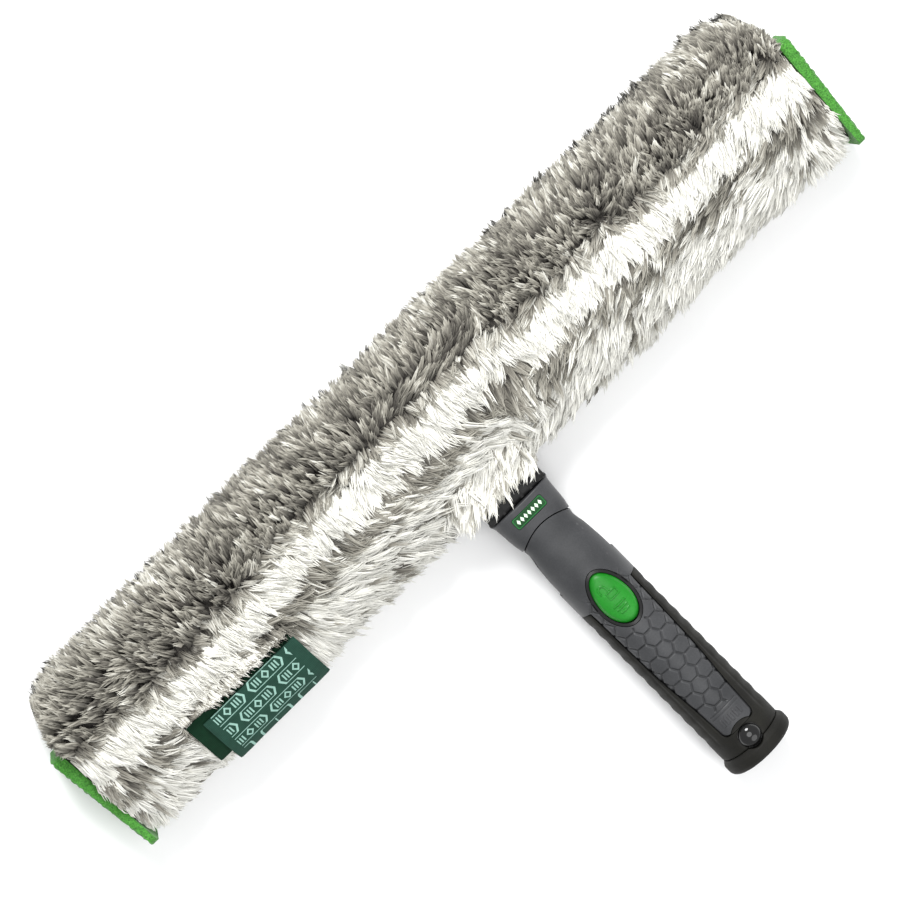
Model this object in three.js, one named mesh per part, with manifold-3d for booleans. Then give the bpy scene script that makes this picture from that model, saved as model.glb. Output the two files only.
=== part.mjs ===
// A strip washer for windows: a T-bar in a striped microfibre sleeve, on a swivel neck and a
// two-component handle with a pole socket. Millimetres, +Z up, lying flat with the sleeve along X.
import * as THREE from 'three';
import { mergeVertices } from 'three/addons/utils/BufferGeometryUtils.js';
import Module from 'manifold-3d';

const wasm = await Module();
wasm.setup();

// ---------------------------------------------------------------- driving dimensions
// Y runs from the handle's end (0) to the sleeve's working edge. X and Z start at the handle's axis.

const GAP = 0.3; // clearance between separate pieces
const TOOL_DEPTH = 254; // handle end to working edge
const FAR = 400; // reaches past everything, for cutting tools
const OPEN = 20; // reaches past the handle's skin, up or down
const MIDDLE_HOLE = [-9, 9]; // cuts right through the hub, the bar and the washers

const flange = { radius: 17.9, length: 8.2, lip: 4, crown: [2.6, 5.4], bevel: 0.8 };
const flangeFace = { radius: 15.6, shoulder: 17, neck: 16.7 };
const grip = { start: 8.5, end: 101, radius: 16.25, coreRadius: 13.6, coreStart: 4.3, coreEnd: 103 };
const panel = { radius: 15.9, bottom: 18.7, corner: 2.4, notchRadius: 8.5, top: 104 };
const socket = { radius: 9, outer: 11.2, start: 4.3, depth: 62, floor: 2 };
const shellPocket = { halfWidth: 4.5, y: [70, 83], z: [-9, 9] };
const swivel = { y: 124, seam: 21.7, hubRadius: 12, hubHalf: 3.2, washer: 0.9 };
const pin = { radius: 3, z: [-11.9, 9.5], headRadius: 5, headZ: -9.9 };
const neck = { end: 159, tongueHalf: 9, earHalf: 13, earStart: 147, earEnd: 157, tongueEnd: 168 };
const yoke = { end: 190, halfWidth: 16.6, halfHeight: 11, ribs: 6, ribPitch: 5.4, corner: 2.5 };
const groove = { half: 0.7, depth: 1 };
const bar = { start: 172, end: 218, halfLength: 210, half: 4, slots: 8, slotPitch: 50 };
const barSlot = { half: 9, straight: 5 };
const cap = { overlap: 3.7, length: 6.5, half: 5.9, rim: 1.4 };
const sleeve = { halfLength: 219, hollowHalf: 6.3, start: 165, gap: 0.4, sideGap: 0.7 };
const pad = { halfLength: 225.5, start: 165.5, end: 224, bottom: -14.4, top: 15.6, corner: 4 };
const strap = { x: [-172, -112], reach: [0.587, 0.702], lift: [0.5, 1.7] };
const label = { x: [-165.4, -110.6], reach: [0.6, 0.733], lift: [2.1, 3.1] };
const badgeSize = { x: 8.65, y: [150.6, 155.9], z: [10.5, 11.4], recess: 10.2, corner: 1 };

const unlock = { y: 100.3, halfWidth: 7.8, halfLength: 13.8, base: 9, taper: 0.13 };
const unlockDome = { radii: [12, 26, 12], z: 4.9 };
const seal = { width: 1.65, base: 10.9, radius: 16.05 };
const wedge = { halfWidth: 2.5, top: [95.6, 5.6], drop: 11, half: 1.5, slack: 0.45 };
const post = { radius: 1.3, y: 89.6, bottom: 2 };
const pawl = { halfWidth: 6, half: 2.5, rear: 95, slotY: 101.2, top: 6.2, guideStart: 92.3, front: 116 };
const springPit = { halfWidth: 3.3, y: [86, 112.5], z: [-8.8, 7] };
const lockCoil = { radius: 2.3, wire: 0.35, z: [-8.1, 8.3], turns: 7 };

const ball = { y: 12.5, radius: 5.3, bottom: 9.3, shank: 3, rim: 6, rimZ: [13.6, 14.3] };
const ballDome = { z: 15.6, height: 3.2 };
const ballPit = { shell: 8, roof: 14.6, insert: [10.2, 13], shank: 7 };
const ballCoil = { radius: 4.3, wire: 0.3, z: [10.9, 12.9], turns: 2 };

const screw = { shank: 1.35, head: 2.6, headHeight: 1.8, tip: 1.2 };
const handleScrew = { x: 8, y: 76, z: [-9.6, 6.2], well: -7.5, pilot: [-1, 7], moulding: -5 };
const neckScrew = { x: 9, y: 152, z: [-9.6, 6.8], well: -7.5, pilot: [0, 7.5] };
const yokeScrew = { x: 12, y: 181, z: [-9.3, 8.5], well: -7.2 };

// The outline of handle front and neck: [y, half width, half height, roundness exponent]
const FORM_STATIONS = [
  [101.3, 16.25, 16.25, 2.0],
  [112, 16.25, 16.1, 2.0],
  [120, 16.1, 14.9, 2.1],
  [124, 15.8, 14.0, 2.2],
  [130, 15.2, 12.8, 2.35],
  [134, 14.4, 12.2, 2.45],
  [137.6, 14.05, 12.0, 2.5],
  [141, 14.5, 12.0, 2.55],
  [145.6, 15.3, 12.1, 2.6],
  [152, 15.8, 12.3, 2.6],
  [156, 16.2, 12.5, 2.6],
  [neck.end, 16.8, 12.8, 2.6],
];

// The sleeve's section as [y, height above the ground], from the end of its flat underside round to
// the start of it. The pile stands up at the working edge and lies down towards the handle.
const SLEEVE_FLAT = [176, 244];
const SLEEVE_ROUND = [
  [252, 6],
  [254, 18],
  [252.5, 32],
  [246, 43],
  [234, 49.5],
  [222, 50],
  [206, 47],
  [190, 42.5],
  [175, 35],
  [167.5, 27],
  [sleeve.start, 18],
  [168, 6],
];

// Half widths of the grey thumb panel, as [y, half width]
const PANEL_SIDE = [
  [21.2, 8.4],
  [35, 9.1],
  [61, 11.15],
  [101, 12.25],
];

// ---------------------------------------------------------------- solids from geometry

function signedVolume(geometry) {
  const position = geometry.getAttribute('position');
  const index = geometry.getIndex();
  const [a, b, c] = [new THREE.Vector3(), new THREE.Vector3(), new THREE.Vector3()];
  let volume = 0;
  for (let i = 0; i < index.count; i += 3) {
    a.fromBufferAttribute(position, index.getX(i));
    b.fromBufferAttribute(position, index.getX(i + 1));
    c.fromBufferAttribute(position, index.getX(i + 2));
    volume += a.dot(b.cross(c)) / 6;
  }
  return volume;
}

function flipFaces(geometry) {
  const index = geometry.getIndex();
  for (let i = 0; i < index.count; i += 3) {
    const first = index.getX(i);
    index.setX(i, index.getX(i + 1));
    index.setX(i + 1, first);
  }
}

function toSolid(geometry) {
  const bare = geometry.clone();
  bare.deleteAttribute('normal');
  bare.deleteAttribute('uv');
  const merged = mergeVertices(bare, 1e-5);
  if (signedVolume(merged) < 0) flipFaces(merged);
  return new wasm.Manifold(
    new wasm.Mesh({
      numProp: 3,
      vertProperties: new Float32Array(merged.getAttribute('position').array),
      triVerts: new Uint32Array(merged.getIndex().array),
    }),
  );
}

function toGeometry(solid) {
  const mesh = solid.getMesh();
  const geometry = new THREE.BufferGeometry();
  geometry.setAttribute('position', new THREE.BufferAttribute(mesh.vertProperties, 3));
  geometry.setIndex(new THREE.BufferAttribute(mesh.triVerts, 1));
  geometry.computeVertexNormals();
  return geometry;
}

const join = (first, ...others) => others.reduce((whole, next) => whole.add(next), first);
const cut = (first, ...others) => others.reduce((whole, next) => whole.subtract(next), first);

function box(x, y, z) {
  const geometry = new THREE.BoxGeometry(x[1] - x[0], y[1] - y[0], z[1] - z[0]);
  geometry.translate((x[0] + x[1]) / 2, (y[0] + y[1]) / 2, (z[0] + z[1]) / 2);
  return toSolid(geometry);
}

function rodY(radius, y, sides = 36) {
  const geometry = new THREE.CylinderGeometry(radius, radius, y[1] - y[0], sides);
  geometry.translate(0, (y[0] + y[1]) / 2, 0);
  return toSolid(geometry);
}

function rodZ(radius, x, y, z, sides = 20) {
  const geometry = new THREE.CylinderGeometry(radius, radius, z[1] - z[0], sides);
  geometry.rotateX(Math.PI / 2);
  geometry.translate(x, y, (z[0] + z[1]) / 2);
  return toSolid(geometry);
}

// A solid turned about Y from a profile of [radius, y] points
function turnedY(profile, sides = 32) {
  const points = profile.map(([radius, y]) => new THREE.Vector2(radius, y));
  return toSolid(new THREE.LatheGeometry(points, sides));
}

// A solid turned about an upright axis through (x, y) from a profile of [radius, z] points
function turnedZ(profile, x, y, sides = 16) {
  const points = profile.map(([radius, z]) => new THREE.Vector2(radius, z));
  const geometry = new THREE.LatheGeometry(points, sides);
  geometry.rotateX(Math.PI / 2);
  geometry.translate(x, y, 0);
  return toSolid(geometry);
}

// A flat outline in X and Y, raised from z[0] to z[1]
function plate(shape, z, curveSegments = 12) {
  const options = { depth: z[1] - z[0], bevelEnabled: false, curveSegments };
  const geometry = new THREE.ExtrudeGeometry(shape, options);
  geometry.translate(0, 0, z[0]);
  return toSolid(geometry);
}

// An outline in Y and Z, drawn out from x[0] to x[1]
function barX(shape, x, curveSegments = 12) {
  const options = { depth: x[1] - x[0], bevelEnabled: false, curveSegments };
  const geometry = new THREE.ExtrudeGeometry(shape, options);
  const toYZ = new THREE.Matrix4().makeBasis(
    new THREE.Vector3(0, 1, 0),
    new THREE.Vector3(0, 0, 1),
    new THREE.Vector3(1, 0, 0),
  );
  geometry.applyMatrix4(toYZ);
  geometry.translate(x[0], 0, 0);
  return toSolid(geometry);
}

function outline(points) {
  return new THREE.Shape(points.map(([u, v]) => new THREE.Vector2(u, v)));
}

function roundedRectangle(u, v, radius) {
  const shape = new THREE.Shape();
  shape.absarc(u[1] - radius, v[0] + radius, radius, -Math.PI / 2, 0);
  shape.absarc(u[1] - radius, v[1] - radius, radius, 0, Math.PI / 2);
  shape.absarc(u[0] + radius, v[1] - radius, radius, Math.PI / 2, Math.PI);
  shape.absarc(u[0] + radius, v[0] + radius, radius, Math.PI, (3 * Math.PI) / 2);
  return shape;
}

// Half of a body along Y, above (up = 1) or below (up = -1) the split at the axis: a closed skin
// through half superellipses, one for each station, with a flat face on the split
function halfLoft(stations, up, points = 17) {
  const positions = [];
  const indices = [];
  for (const [y, halfWidth, halfHeight, exponent] of stations) {
    for (let i = 0; i < points; i += 1) {
      const angle = (Math.PI * i) / (points - 1);
      const [c, s] = [Math.cos(angle), Math.abs(Math.sin(angle))];
      positions.push(halfWidth * Math.sign(c) * Math.abs(c) ** (2 / exponent));
      positions.push(y);
      positions.push(up * Math.max(halfHeight * s ** (2 / exponent), GAP / 2));
    }
  }
  for (let ring = 0; ring < stations.length - 1; ring += 1) {
    for (let i = 0; i < points; i += 1) {
      const next = (i + 1) % points;
      const [a, b] = [ring * points + i, ring * points + next];
      indices.push(a, b, a + points, b, b + points, a + points);
    }
  }
  const last = (stations.length - 1) * points;
  for (let i = 1; i < points - 1; i += 1) {
    indices.push(0, i + 1, i, last, last + i, last + i + 1);
  }
  const geometry = new THREE.BufferGeometry();
  geometry.setAttribute('position', new THREE.Float32BufferAttribute(positions, 3));
  geometry.setIndex(indices);
  return toSolid(geometry);
}

class Coil extends THREE.Curve {
  constructor(radius, x, y, z, turns) {
    super();
    Object.assign(this, { radius, x, y, z, turns });
  }

  getPoint(t, target = new THREE.Vector3()) {
    const angle = 2 * Math.PI * this.turns * t;
    const height = this.z[0] + (this.z[1] - this.z[0]) * t;
    return target.set(
      this.x + this.radius * Math.cos(angle),
      this.y + this.radius * Math.sin(angle),
      height,
    );
  }
}

function coilSpring({ radius, wire, z, turns }, x, y) {
  const section = new THREE.Shape();
  section.absarc(0, 0, wire, 0, 2 * Math.PI);
  const extrudePath = new Coil(radius, x, y, z, turns);
  const options = { steps: turns * 9, extrudePath, curveSegments: 3, bevelEnabled: false };
  return toSolid(new THREE.ExtrudeGeometry(section, options));
}

// ---------------------------------------------------------------- shared outlines

function panelOutline(grow) {
  const shape = new THREE.Shape();
  const bottom = panel.bottom - grow;
  const notch = panel.notchRadius - grow;
  const edge = Math.asin((bottom - ball.y) / notch);
  const [sideBottom, sideWidth] = PANEL_SIDE[0];
  const width = sideWidth + grow;
  shape.moveTo(notch * Math.cos(edge), bottom);
  shape.lineTo(width - panel.corner, bottom);
  shape.quadraticCurveTo(width, bottom, width, sideBottom);
  for (const [y, halfWidth] of PANEL_SIDE) shape.lineTo(halfWidth + grow, y);
  shape.lineTo(PANEL_SIDE.at(-1)[1] + grow, panel.top);
  for (const [y, halfWidth] of [[panel.top, PANEL_SIDE.at(-1)[1]], ...[...PANEL_SIDE].reverse()]) {
    shape.lineTo(-halfWidth - grow, y);
  }
  shape.quadraticCurveTo(-width, bottom, -width + panel.corner, bottom);
  shape.lineTo(-notch * Math.cos(edge), bottom);
  shape.absarc(0, ball.y, notch, Math.PI - edge, edge, true);
  return shape;
}

// The release button's egg outline, narrower towards the sleeve
function eggOutline(grow, points = 30) {
  const shape = new THREE.Shape();
  for (let i = 0; i < points; i += 1) {
    const angle = (2 * Math.PI * i) / points;
    const taper = 1 - unlock.taper * Math.sin(angle);
    const x = (unlock.halfWidth * taper + grow) * Math.cos(angle);
    const y = unlock.y + (unlock.halfLength + grow) * Math.sin(angle);
    if (i === 0) shape.moveTo(x, y);
    else shape.lineTo(x, y);
  }
  shape.closePath();
  return shape;
}

const swivelZone = (radius) =>
  join(
    box([-40, 40], [60, swivel.y], [-40, 40]),
    rodZ(radius, 0, swivel.y, [-40, 40], 72),
  );

const pair = ({ x, y }) => [-x, x].map((side) => [side, y]);
const handleScrewPlaces = pair(handleScrew);
const neckScrewPlaces = pair(neckScrew);
const yokeScrewPlaces = pair(yokeScrew);

const pilots = (places, z, sides) => places.map(([x, y]) => rodZ(screw.shank + GAP, x, y, z, sides));

// Clearance holes up to a height, and under them the wells for the screws' heads
function screwWells(places, well, to) {
  return places.map(([x, y]) =>
    join(
      rodZ(screw.shank + GAP, x, y, [well - 1.5, to]),
      rodZ(screw.head + GAP, x, y, [-OPEN, well]),
    ),
  );
}

// ---------------------------------------------------------------- handle shells and what they hold

function handleBlank(up) {
  const { coreRadius, coreStart, coreEnd } = grip;
  const core = halfLoft([coreStart, coreEnd].map((y) => [y, coreRadius, coreRadius, 2]), up);
  const front = halfLoft(FORM_STATIONS, up).intersect(swivelZone(swivel.seam));
  return join(core, front);
}

function swivelSlot() {
  const half = swivel.hubHalf + swivel.washer + 2 * GAP;
  const sideOpening = swivel.y - neck.tongueHalf - 2 * GAP;
  return join(
    rodZ(swivel.hubRadius + 0.4, 0, swivel.y, [-half, half], 48),
    box([-40, 40], [sideOpening, neck.end + 1], [-half, half]),
  );
}

// The pawl's guide, the deep slot under it and the spring's pocket
function mechanismChamber() {
  const side = pawl.halfWidth + GAP;
  const guide = box([-side, side], [pawl.guideStart, pawl.front], [-pawl.half - GAP, pawl.top]);
  const pit = box([-springPit.halfWidth, springPit.halfWidth], springPit.y, springPit.z);
  return join(guide, pit);
}

function handleHollows() {
  return join(
    rodY(socket.outer + GAP, [0, socket.start + socket.depth + GAP]),
    box([-shellPocket.halfWidth, shellPocket.halfWidth], shellPocket.y, shellPocket.z),
    swivelSlot(),
    mechanismChamber(),
    rodZ(pin.radius + GAP, 0, swivel.y, [pin.headZ + 0.1, -pin.headZ - 0.1]),
  );
}

const ballPocket = (z) => rodZ(ball.rim + GAP, 0, ball.y, z);

function handleShellTop() {
  const raised = plate(panelOutline(0), [3, 18]).intersect(rodY(panel.radius, [15, grip.coreEnd], 56));
  return cut(
    join(handleBlank(1), raised),
    handleHollows(),
    ...pilots(handleScrewPlaces, handleScrew.pilot),
    plate(eggOutline(GAP + 0.1), [pawl.top - 0.2, OPEN]),
    plate(eggOutline(seal.width + GAP), [seal.base - GAP, OPEN]),
    ballPocket([ballPit.shell, OPEN]),
  );
}

function handleShellBottom() {
  return cut(
    handleBlank(-1),
    handleHollows(),
    ...screwWells(handleScrewPlaces, handleScrew.well, 1),
    rodZ(pin.headRadius + 0.4, 0, swivel.y, [-OPEN, pin.headZ + GAP]),
  );
}

function gripOvermould() {
  const wells = handleScrewPlaces.map(([x, y]) =>
    rodZ(screw.head + 2 * GAP, x, y, [-OPEN, handleScrew.moulding]),
  );
  return cut(
    rodY(grip.radius, [grip.start, grip.end], 40),
    rodY(grip.coreRadius + GAP, [0, grip.end + 1], 36),
    plate(panelOutline(GAP), [3, OPEN]),
    ballPocket([ballPit.shell, ballPit.roof]),
    rodZ(ball.radius + GAP, 0, ball.y, [ballPit.roof - 1, OPEN]),
    ...wells,
  );
}

// The rim swells from the grip, is widest over its crown and rounds off to a flat end face
function endRing() {
  const { radius, length, lip, crown, bevel } = flange;
  const bore = socket.radius + GAP;
  const seat = grip.coreRadius + GAP;
  const ring = turnedY([
    [bore, 0],
    [flangeFace.radius, 0],
    [flangeFace.shoulder, bevel],
    [radius, crown[0]],
    [radius, crown[1]],
    [flangeFace.neck, length],
    [seat, length],
    [seat, lip],
    [bore, lip],
    [bore, 0],
  ]);
  return cut(ring, ballPocket([ballPit.shell, OPEN]));
}

function socketInsert() {
  const end = socket.start + socket.depth;
  const tube = turnedY([
    [0, end - socket.floor],
    [socket.radius, end - socket.floor],
    [socket.radius, socket.start],
    [socket.outer, socket.start],
    [socket.outer, end],
    [0, end],
  ]);
  const shankHole = rodZ(ball.shank + GAP, 0, ball.y, [ballPit.shank, ballPit.insert[1]]);
  return cut(tube, ballPocket(ballPit.insert), shankHole);
}

function buttonSeal() {
  const ring = plate(eggOutline(seal.width), [seal.base, OPEN]);
  const hole = plate(eggOutline(GAP), [seal.base - 1, OPEN + 1]);
  const round = rodY(seal.radius, [unlock.y - OPEN, unlock.y + OPEN], 40);
  return cut(ring, hole).intersect(round);
}

function pivotPin() {
  const { radius, z, headRadius, headZ } = pin;
  const profile = [[0, z[0]], [headRadius, z[0]], [headRadius, headZ], [radius, headZ]];
  profile.push([radius, z[1]], [0, z[1]]);
  return turnedZ(profile, 0, swivel.y);
}

function swivelWasher(side) {
  const from = swivel.hubHalf + GAP;
  const z = side > 0 ? [from, from + swivel.washer] : [-from - swivel.washer, -from];
  const disc = rodZ(swivel.hubRadius - 1, 0, swivel.y, z, 36);
  return cut(disc, rodZ(pin.radius + GAP, 0, swivel.y, MIDDLE_HOLE));
}

// A screw with its head down, standing at z[0] and reaching z[1]
function tappingScrew(x, y, z) {
  const { shank, head, headHeight, tip } = screw;
  const neckZ = z[0] + headHeight;
  const profile = [[0, z[0]], [head - 0.5, z[0]], [head, z[0] + 0.6], [head, neckZ]];
  profile.push([shank, neckZ], [shank, z[1] - tip], [0, z[1]]);
  return turnedZ(profile, x, y, 12);
}

// ---------------------------------------------------------------- buttons and lock

// The button's dome, a slanted wedge that draws the pawl back, and a post inside the spring
function lockButton() {
  const dome = new THREE.SphereGeometry(1, 24, 18);
  dome.rotateX(Math.PI / 2);
  dome.scale(...unlockDome.radii);
  dome.translate(0, unlock.y, unlockDome.z);
  const crown = plate(eggOutline(0), [unlock.base, OPEN]).intersect(toSolid(dome));
  const { halfWidth, top, drop, half } = wedge;
  const root = unlock.base + 1;
  const blade = outline([
    [top[0] - half, root],
    [top[0] - half, top[1]],
    [top[0] - half + drop, top[1] - drop],
    [top[0] + half + drop, top[1] - drop],
    [top[0] + half, top[1]],
    [top[0] + half, root],
  ]);
  const guide = rodZ(post.radius, 0, post.y, [post.bottom, root], 12);
  return join(crown, barX(blade, [-halfWidth, halfWidth]), guide);
}

function lockPawl() {
  const { halfWidth, half, rear, slotY, front } = pawl;
  const halfSlot = wedge.half + wedge.slack;
  const past = half + 1.5;
  const slot = outline([
    [slotY - halfSlot - past, past],
    [slotY + halfSlot - past, past],
    [slotY + halfSlot + past, -past],
    [slotY - halfSlot + past, -past],
  ]);
  const slotSide = wedge.halfWidth + GAP;
  return cut(
    box([-halfWidth, halfWidth], [rear, front], [-half, half]),
    rodZ(swivel.hubRadius + GAP, 0, swivel.y, MIDDLE_HOLE, 64),
    barX(slot, [-slotSide, slotSide]),
  );
}

const lockSpring = () => coilSpring(lockCoil, 0, post.y);

function poleLockButton() {
  const { radius, bottom, shank, rim, rimZ } = ball;
  const profile = [[0, bottom], [shank, bottom], [shank, rimZ[0]], [rim, rimZ[0]], [rim, rimZ[1]]];
  profile.push([radius, rimZ[1]]);
  const steps = 4;
  for (let i = 0; i <= steps; i += 1) {
    const angle = (Math.PI / 2) * (i / steps);
    const height = ballDome.z + ballDome.height * Math.sin(angle);
    profile.push([i === steps ? 0 : radius * Math.cos(angle), height]);
  }
  return turnedZ(profile, 0, ball.y, 24);
}

const poleLockSpring = () => coilSpring(ballCoil, 0, ball.y);

// ---------------------------------------------------------------- neck and T-bar

// The hub turns between the handle's cheeks; its tongue carries the neck covers and the yoke
function swivelHub() {
  const z = [-swivel.hubHalf, swivel.hubHalf];
  const { tongueHalf, earHalf, earStart, earEnd, tongueEnd } = neck;
  const blank = join(
    rodZ(swivel.hubRadius, 0, swivel.y, z, 64),
    box([-tongueHalf, tongueHalf], [swivel.y, tongueEnd], z),
    box([-earHalf, earHalf], [earStart, earEnd], z),
  );
  const pinHole = rodZ(pin.radius + GAP, 0, swivel.y, MIDDLE_HOLE);
  return cut(blank, pinHole, ...pilots(neckScrewPlaces, MIDDLE_HOLE));
}

function tonguePocket() {
  const z = [-swivel.hubHalf - GAP, swivel.hubHalf + GAP];
  const [half, ears] = [neck.tongueHalf + GAP, neck.earHalf + GAP];
  return join(
    box([-half, half], [130, neck.tongueEnd + GAP], z),
    box([-ears, ears], [neck.earStart - GAP, neck.earEnd + GAP], z),
  );
}

function neckBlank(up) {
  return cut(halfLoft(FORM_STATIONS, up), swivelZone(swivel.seam + 0.6), tonguePocket());
}

function badgeOutline(grow) {
  const { x, y, corner } = badgeSize;
  return roundedRectangle([-x - grow, x + grow], [y[0] - grow, y[1] + grow], corner + grow);
}

const badge = () => plate(badgeOutline(0), badgeSize.z, 4);

function neckCoverTop() {
  const recess = plate(badgeOutline(GAP), [badgeSize.recess, OPEN]);
  return cut(neckBlank(1), ...pilots(neckScrewPlaces, neckScrew.pilot), recess);
}

function neckCoverBottom() {
  return cut(neckBlank(-1), ...screwWells(neckScrewPlaces, neckScrew.well, 0));
}

function barYoke() {
  const { end, halfWidth, halfHeight, ribs, ribPitch, corner } = yoke;
  const start = neck.end + GAP;
  const section = roundedRectangle([start, end], [-halfHeight, halfHeight], corner);
  const grooves = [];
  for (let i = 0; i < ribs; i += 1) {
    const x = (i - (ribs - 1) / 2) * ribPitch;
    const across = [x - groove.half, x + groove.half];
    const inner = halfHeight - groove.depth;
    grooves.push(box(across, [start - 1, end + 1], [inner, halfHeight + 1]));
    grooves.push(box(across, [start - 1, end + 1], [-halfHeight - 1, -inner]));
  }
  return cut(
    barX(section, [-halfWidth, halfWidth], 3),
    ...grooves,
    tonguePocket(),
    box([-40, 40], [bar.start - GAP, end + 1], [-bar.half - GAP, bar.half + GAP]),
    ...screwWells(yokeScrewPlaces, yokeScrew.well, MIDDLE_HOLE[1]),
  );
}

// A flat bar with water-holding slots on both sides of the yoke
function tBar() {
  const { start, end, halfLength, half, slots, slotPitch } = bar;
  const shape = roundedRectangle([-halfLength, halfLength], [start, end], 3);
  const middle = (start + end) / 2;
  for (let i = 0; i < slots; i += 1) {
    const x = (i - (slots - 1) / 2) * slotPitch;
    const hole = new THREE.Path();
    hole.absarc(x + barSlot.straight, middle, barSlot.half, -Math.PI / 2, Math.PI / 2);
    hole.absarc(x - barSlot.straight, middle, barSlot.half, Math.PI / 2, (3 * Math.PI) / 2);
    shape.holes.push(hole);
  }
  return cut(plate(shape, [-half, half], 4), ...pilots(yokeScrewPlaces, MIDDLE_HOLE, 12));
}

function endCap(side) {
  const inner = bar.halfLength - cap.overlap;
  const outer = bar.halfLength + cap.length;
  const shape = roundedRectangle([inner, outer], [bar.start - cap.rim, bar.end + cap.rim], 1.5);
  const body = plate(shape, [-cap.half, cap.half], 4);
  const pocket = box(
    [0, bar.halfLength + GAP],
    [bar.start - GAP, bar.end + GAP],
    [-bar.half - GAP, bar.half + GAP],
  );
  const solid = cut(body, pocket);
  return side > 0 ? solid : solid.mirror([1, 0, 0]);
}

// ---------------------------------------------------------------- the sleeve

const groundZ = -flange.radius;

function sleeveCurvePoints() {
  const ring = [[SLEEVE_FLAT[1], 0], ...SLEEVE_ROUND, [SLEEVE_FLAT[0], 0]];
  return ring.map(([y, height]) => new THREE.Vector2(y, height + groundZ));
}

function sleeveBody() {
  const [first, ...others] = sleeveCurvePoints();
  const shape = new THREE.Shape();
  shape.moveTo(SLEEVE_FLAT[0], groundZ);
  shape.lineTo(first.x, first.y);
  shape.splineThru(others);
  const { hollowHalf: half, gap, sideGap } = sleeve;
  const [side, opening] = [yoke.halfWidth + sideGap, yoke.halfHeight + gap];
  return cut(
    barX(shape, [-sleeve.halfLength, sleeve.halfLength], 2),
    box([-FAR, FAR], [bar.start - cap.rim - gap, bar.end + cap.rim + gap], [-half, half]),
    box([-side, side], [neck.earStart, yoke.end + gap], [-opening, opening]),
  );
}

// A green pad that closes the sleeve's end. Its outer side slants in towards the handle.
function endPad(way) {
  const { halfLength, start, end, bottom, top, corner } = pad;
  const inner = sleeve.halfLength + GAP;
  const shape = outline([
    [inner, start + 0.5],
    [inner + 0.9, start + 0.5],
    [halfLength, end - 3],
    [halfLength, end],
    [inner, end],
  ]);
  const side = [sleeve.halfLength - 1, halfLength + 1];
  const rounded = barX(roundedRectangle([start, end], [bottom, top], corner), side, 5);
  const solid = plate(shape, [-40, 40]).intersect(rounded);
  return way > 0 ? solid : solid.mirror([1, 0, 0]);
}

// A thin band on the sleeve's upper side, between two shares of its section's curve
function bandOnSleeve({ x, reach: [from, to], lift: [inner, outer] }) {
  const curve = new THREE.SplineCurve(sleeveCurvePoints());
  const [near, far] = [[], []];
  const steps = 10;
  for (let i = 0; i <= steps; i += 1) {
    const t = from + ((to - from) * i) / steps;
    const point = curve.getPoint(t);
    const tangent = curve.getTangent(t);
    near.push([point.x + tangent.y * inner, point.y - tangent.x * inner]);
    far.push([point.x + tangent.y * outer, point.y - tangent.x * outer]);
  }
  return barX(outline([...near, ...far.reverse()]), x);
}

const closureStrap = () => bandOnSleeve(strap);
const closureLabel = () => bandOnSleeve(label);

// ---------------------------------------------------------------- materials

const finish = (color, roughness, metalness = 0) => () =>
  new THREE.MeshStandardMaterial({ color, roughness, metalness });

const greyPlastic = finish(0x5f5f62, 0.5);
const blackRubber = finish(0x2d2b26, 0.8);
const blackPlastic = finish(0x1c1c1c, 0.35);
const greenPlastic = finish(0x3caa3c, 0.4);
const nylon = finish(0xd8d4c8, 0.5);
const aluminium = finish(0xb8bcc0, 0.4, 0.9);
const steel = finish(0x9a9ca0, 0.35, 0.9);
const microfibre = finish(0xc9c6be, 0.95);
const greenPad = finish(0x46963c, 0.9);
const greenTape = finish(0x375f4e, 0.85);
const darkTape = finish(0x0f3c23, 0.9);

// ---------------------------------------------------------------- the tool

const tool = new THREE.Group();
tool.position.set(0, -TOOL_DEPTH / 2, flange.radius);

function place(name, solid, material) {
  const mesh = new THREE.Mesh(toGeometry(solid), material());
  mesh.name = name;
  tool.add(mesh);
}

const SIDES = [['left', -1], ['right', 1]];

place('handle_shell_top', handleShellTop(), greyPlastic);
place('handle_shell_bottom', handleShellBottom(), greyPlastic);
place('grip_overmould', gripOvermould(), blackRubber);
place('end_ring', endRing(), blackRubber);
place('socket_insert', socketInsert(), blackPlastic);
place('button_seal', buttonSeal(), blackRubber);
place('pivot_pin', pivotPin(), steel);
place('swivel_washer_top', swivelWasher(1), nylon);
place('swivel_washer_bottom', swivelWasher(-1), nylon);
place('lock_button', lockButton(), greenPlastic);
place('lock_button_spring', lockSpring(), steel);
place('lock_pawl', lockPawl(), nylon);
place('pole_lock_button', poleLockButton(), blackPlastic);
place('pole_lock_spring', poleLockSpring(), steel);
place('swivel_hub', swivelHub(), blackPlastic);
place('neck_cover_top', neckCoverTop(), greyPlastic);
place('neck_cover_bottom', neckCoverBottom(), greyPlastic);
place('badge', badge(), greenPlastic);
place('t_bar_yoke', barYoke(), blackPlastic);
place('t_bar', tBar(), aluminium);
place('sleeve', sleeveBody(), microfibre);
place('closure_strap', closureStrap(), darkTape);
place('closure_label', closureLabel(), greenTape);

SIDES.forEach(([word, side], i) => {
  place(`handle_screw_${word}`, tappingScrew(...handleScrewPlaces[i], handleScrew.z), steel);
  place(`neck_screw_${word}`, tappingScrew(...neckScrewPlaces[i], neckScrew.z), steel);
  place(`yoke_screw_${word}`, tappingScrew(...yokeScrewPlaces[i], yokeScrew.z), steel);
  place(`end_cap_${word}`, endCap(side), blackPlastic);
  place(`sleeve_end_pad_${word}`, endPad(side), greenPad);
});

const group = new THREE.Group();
group.add(tool);
export default group;
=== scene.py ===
import math

import bpy
import numpy as np
from mathutils import Matrix, Vector


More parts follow.
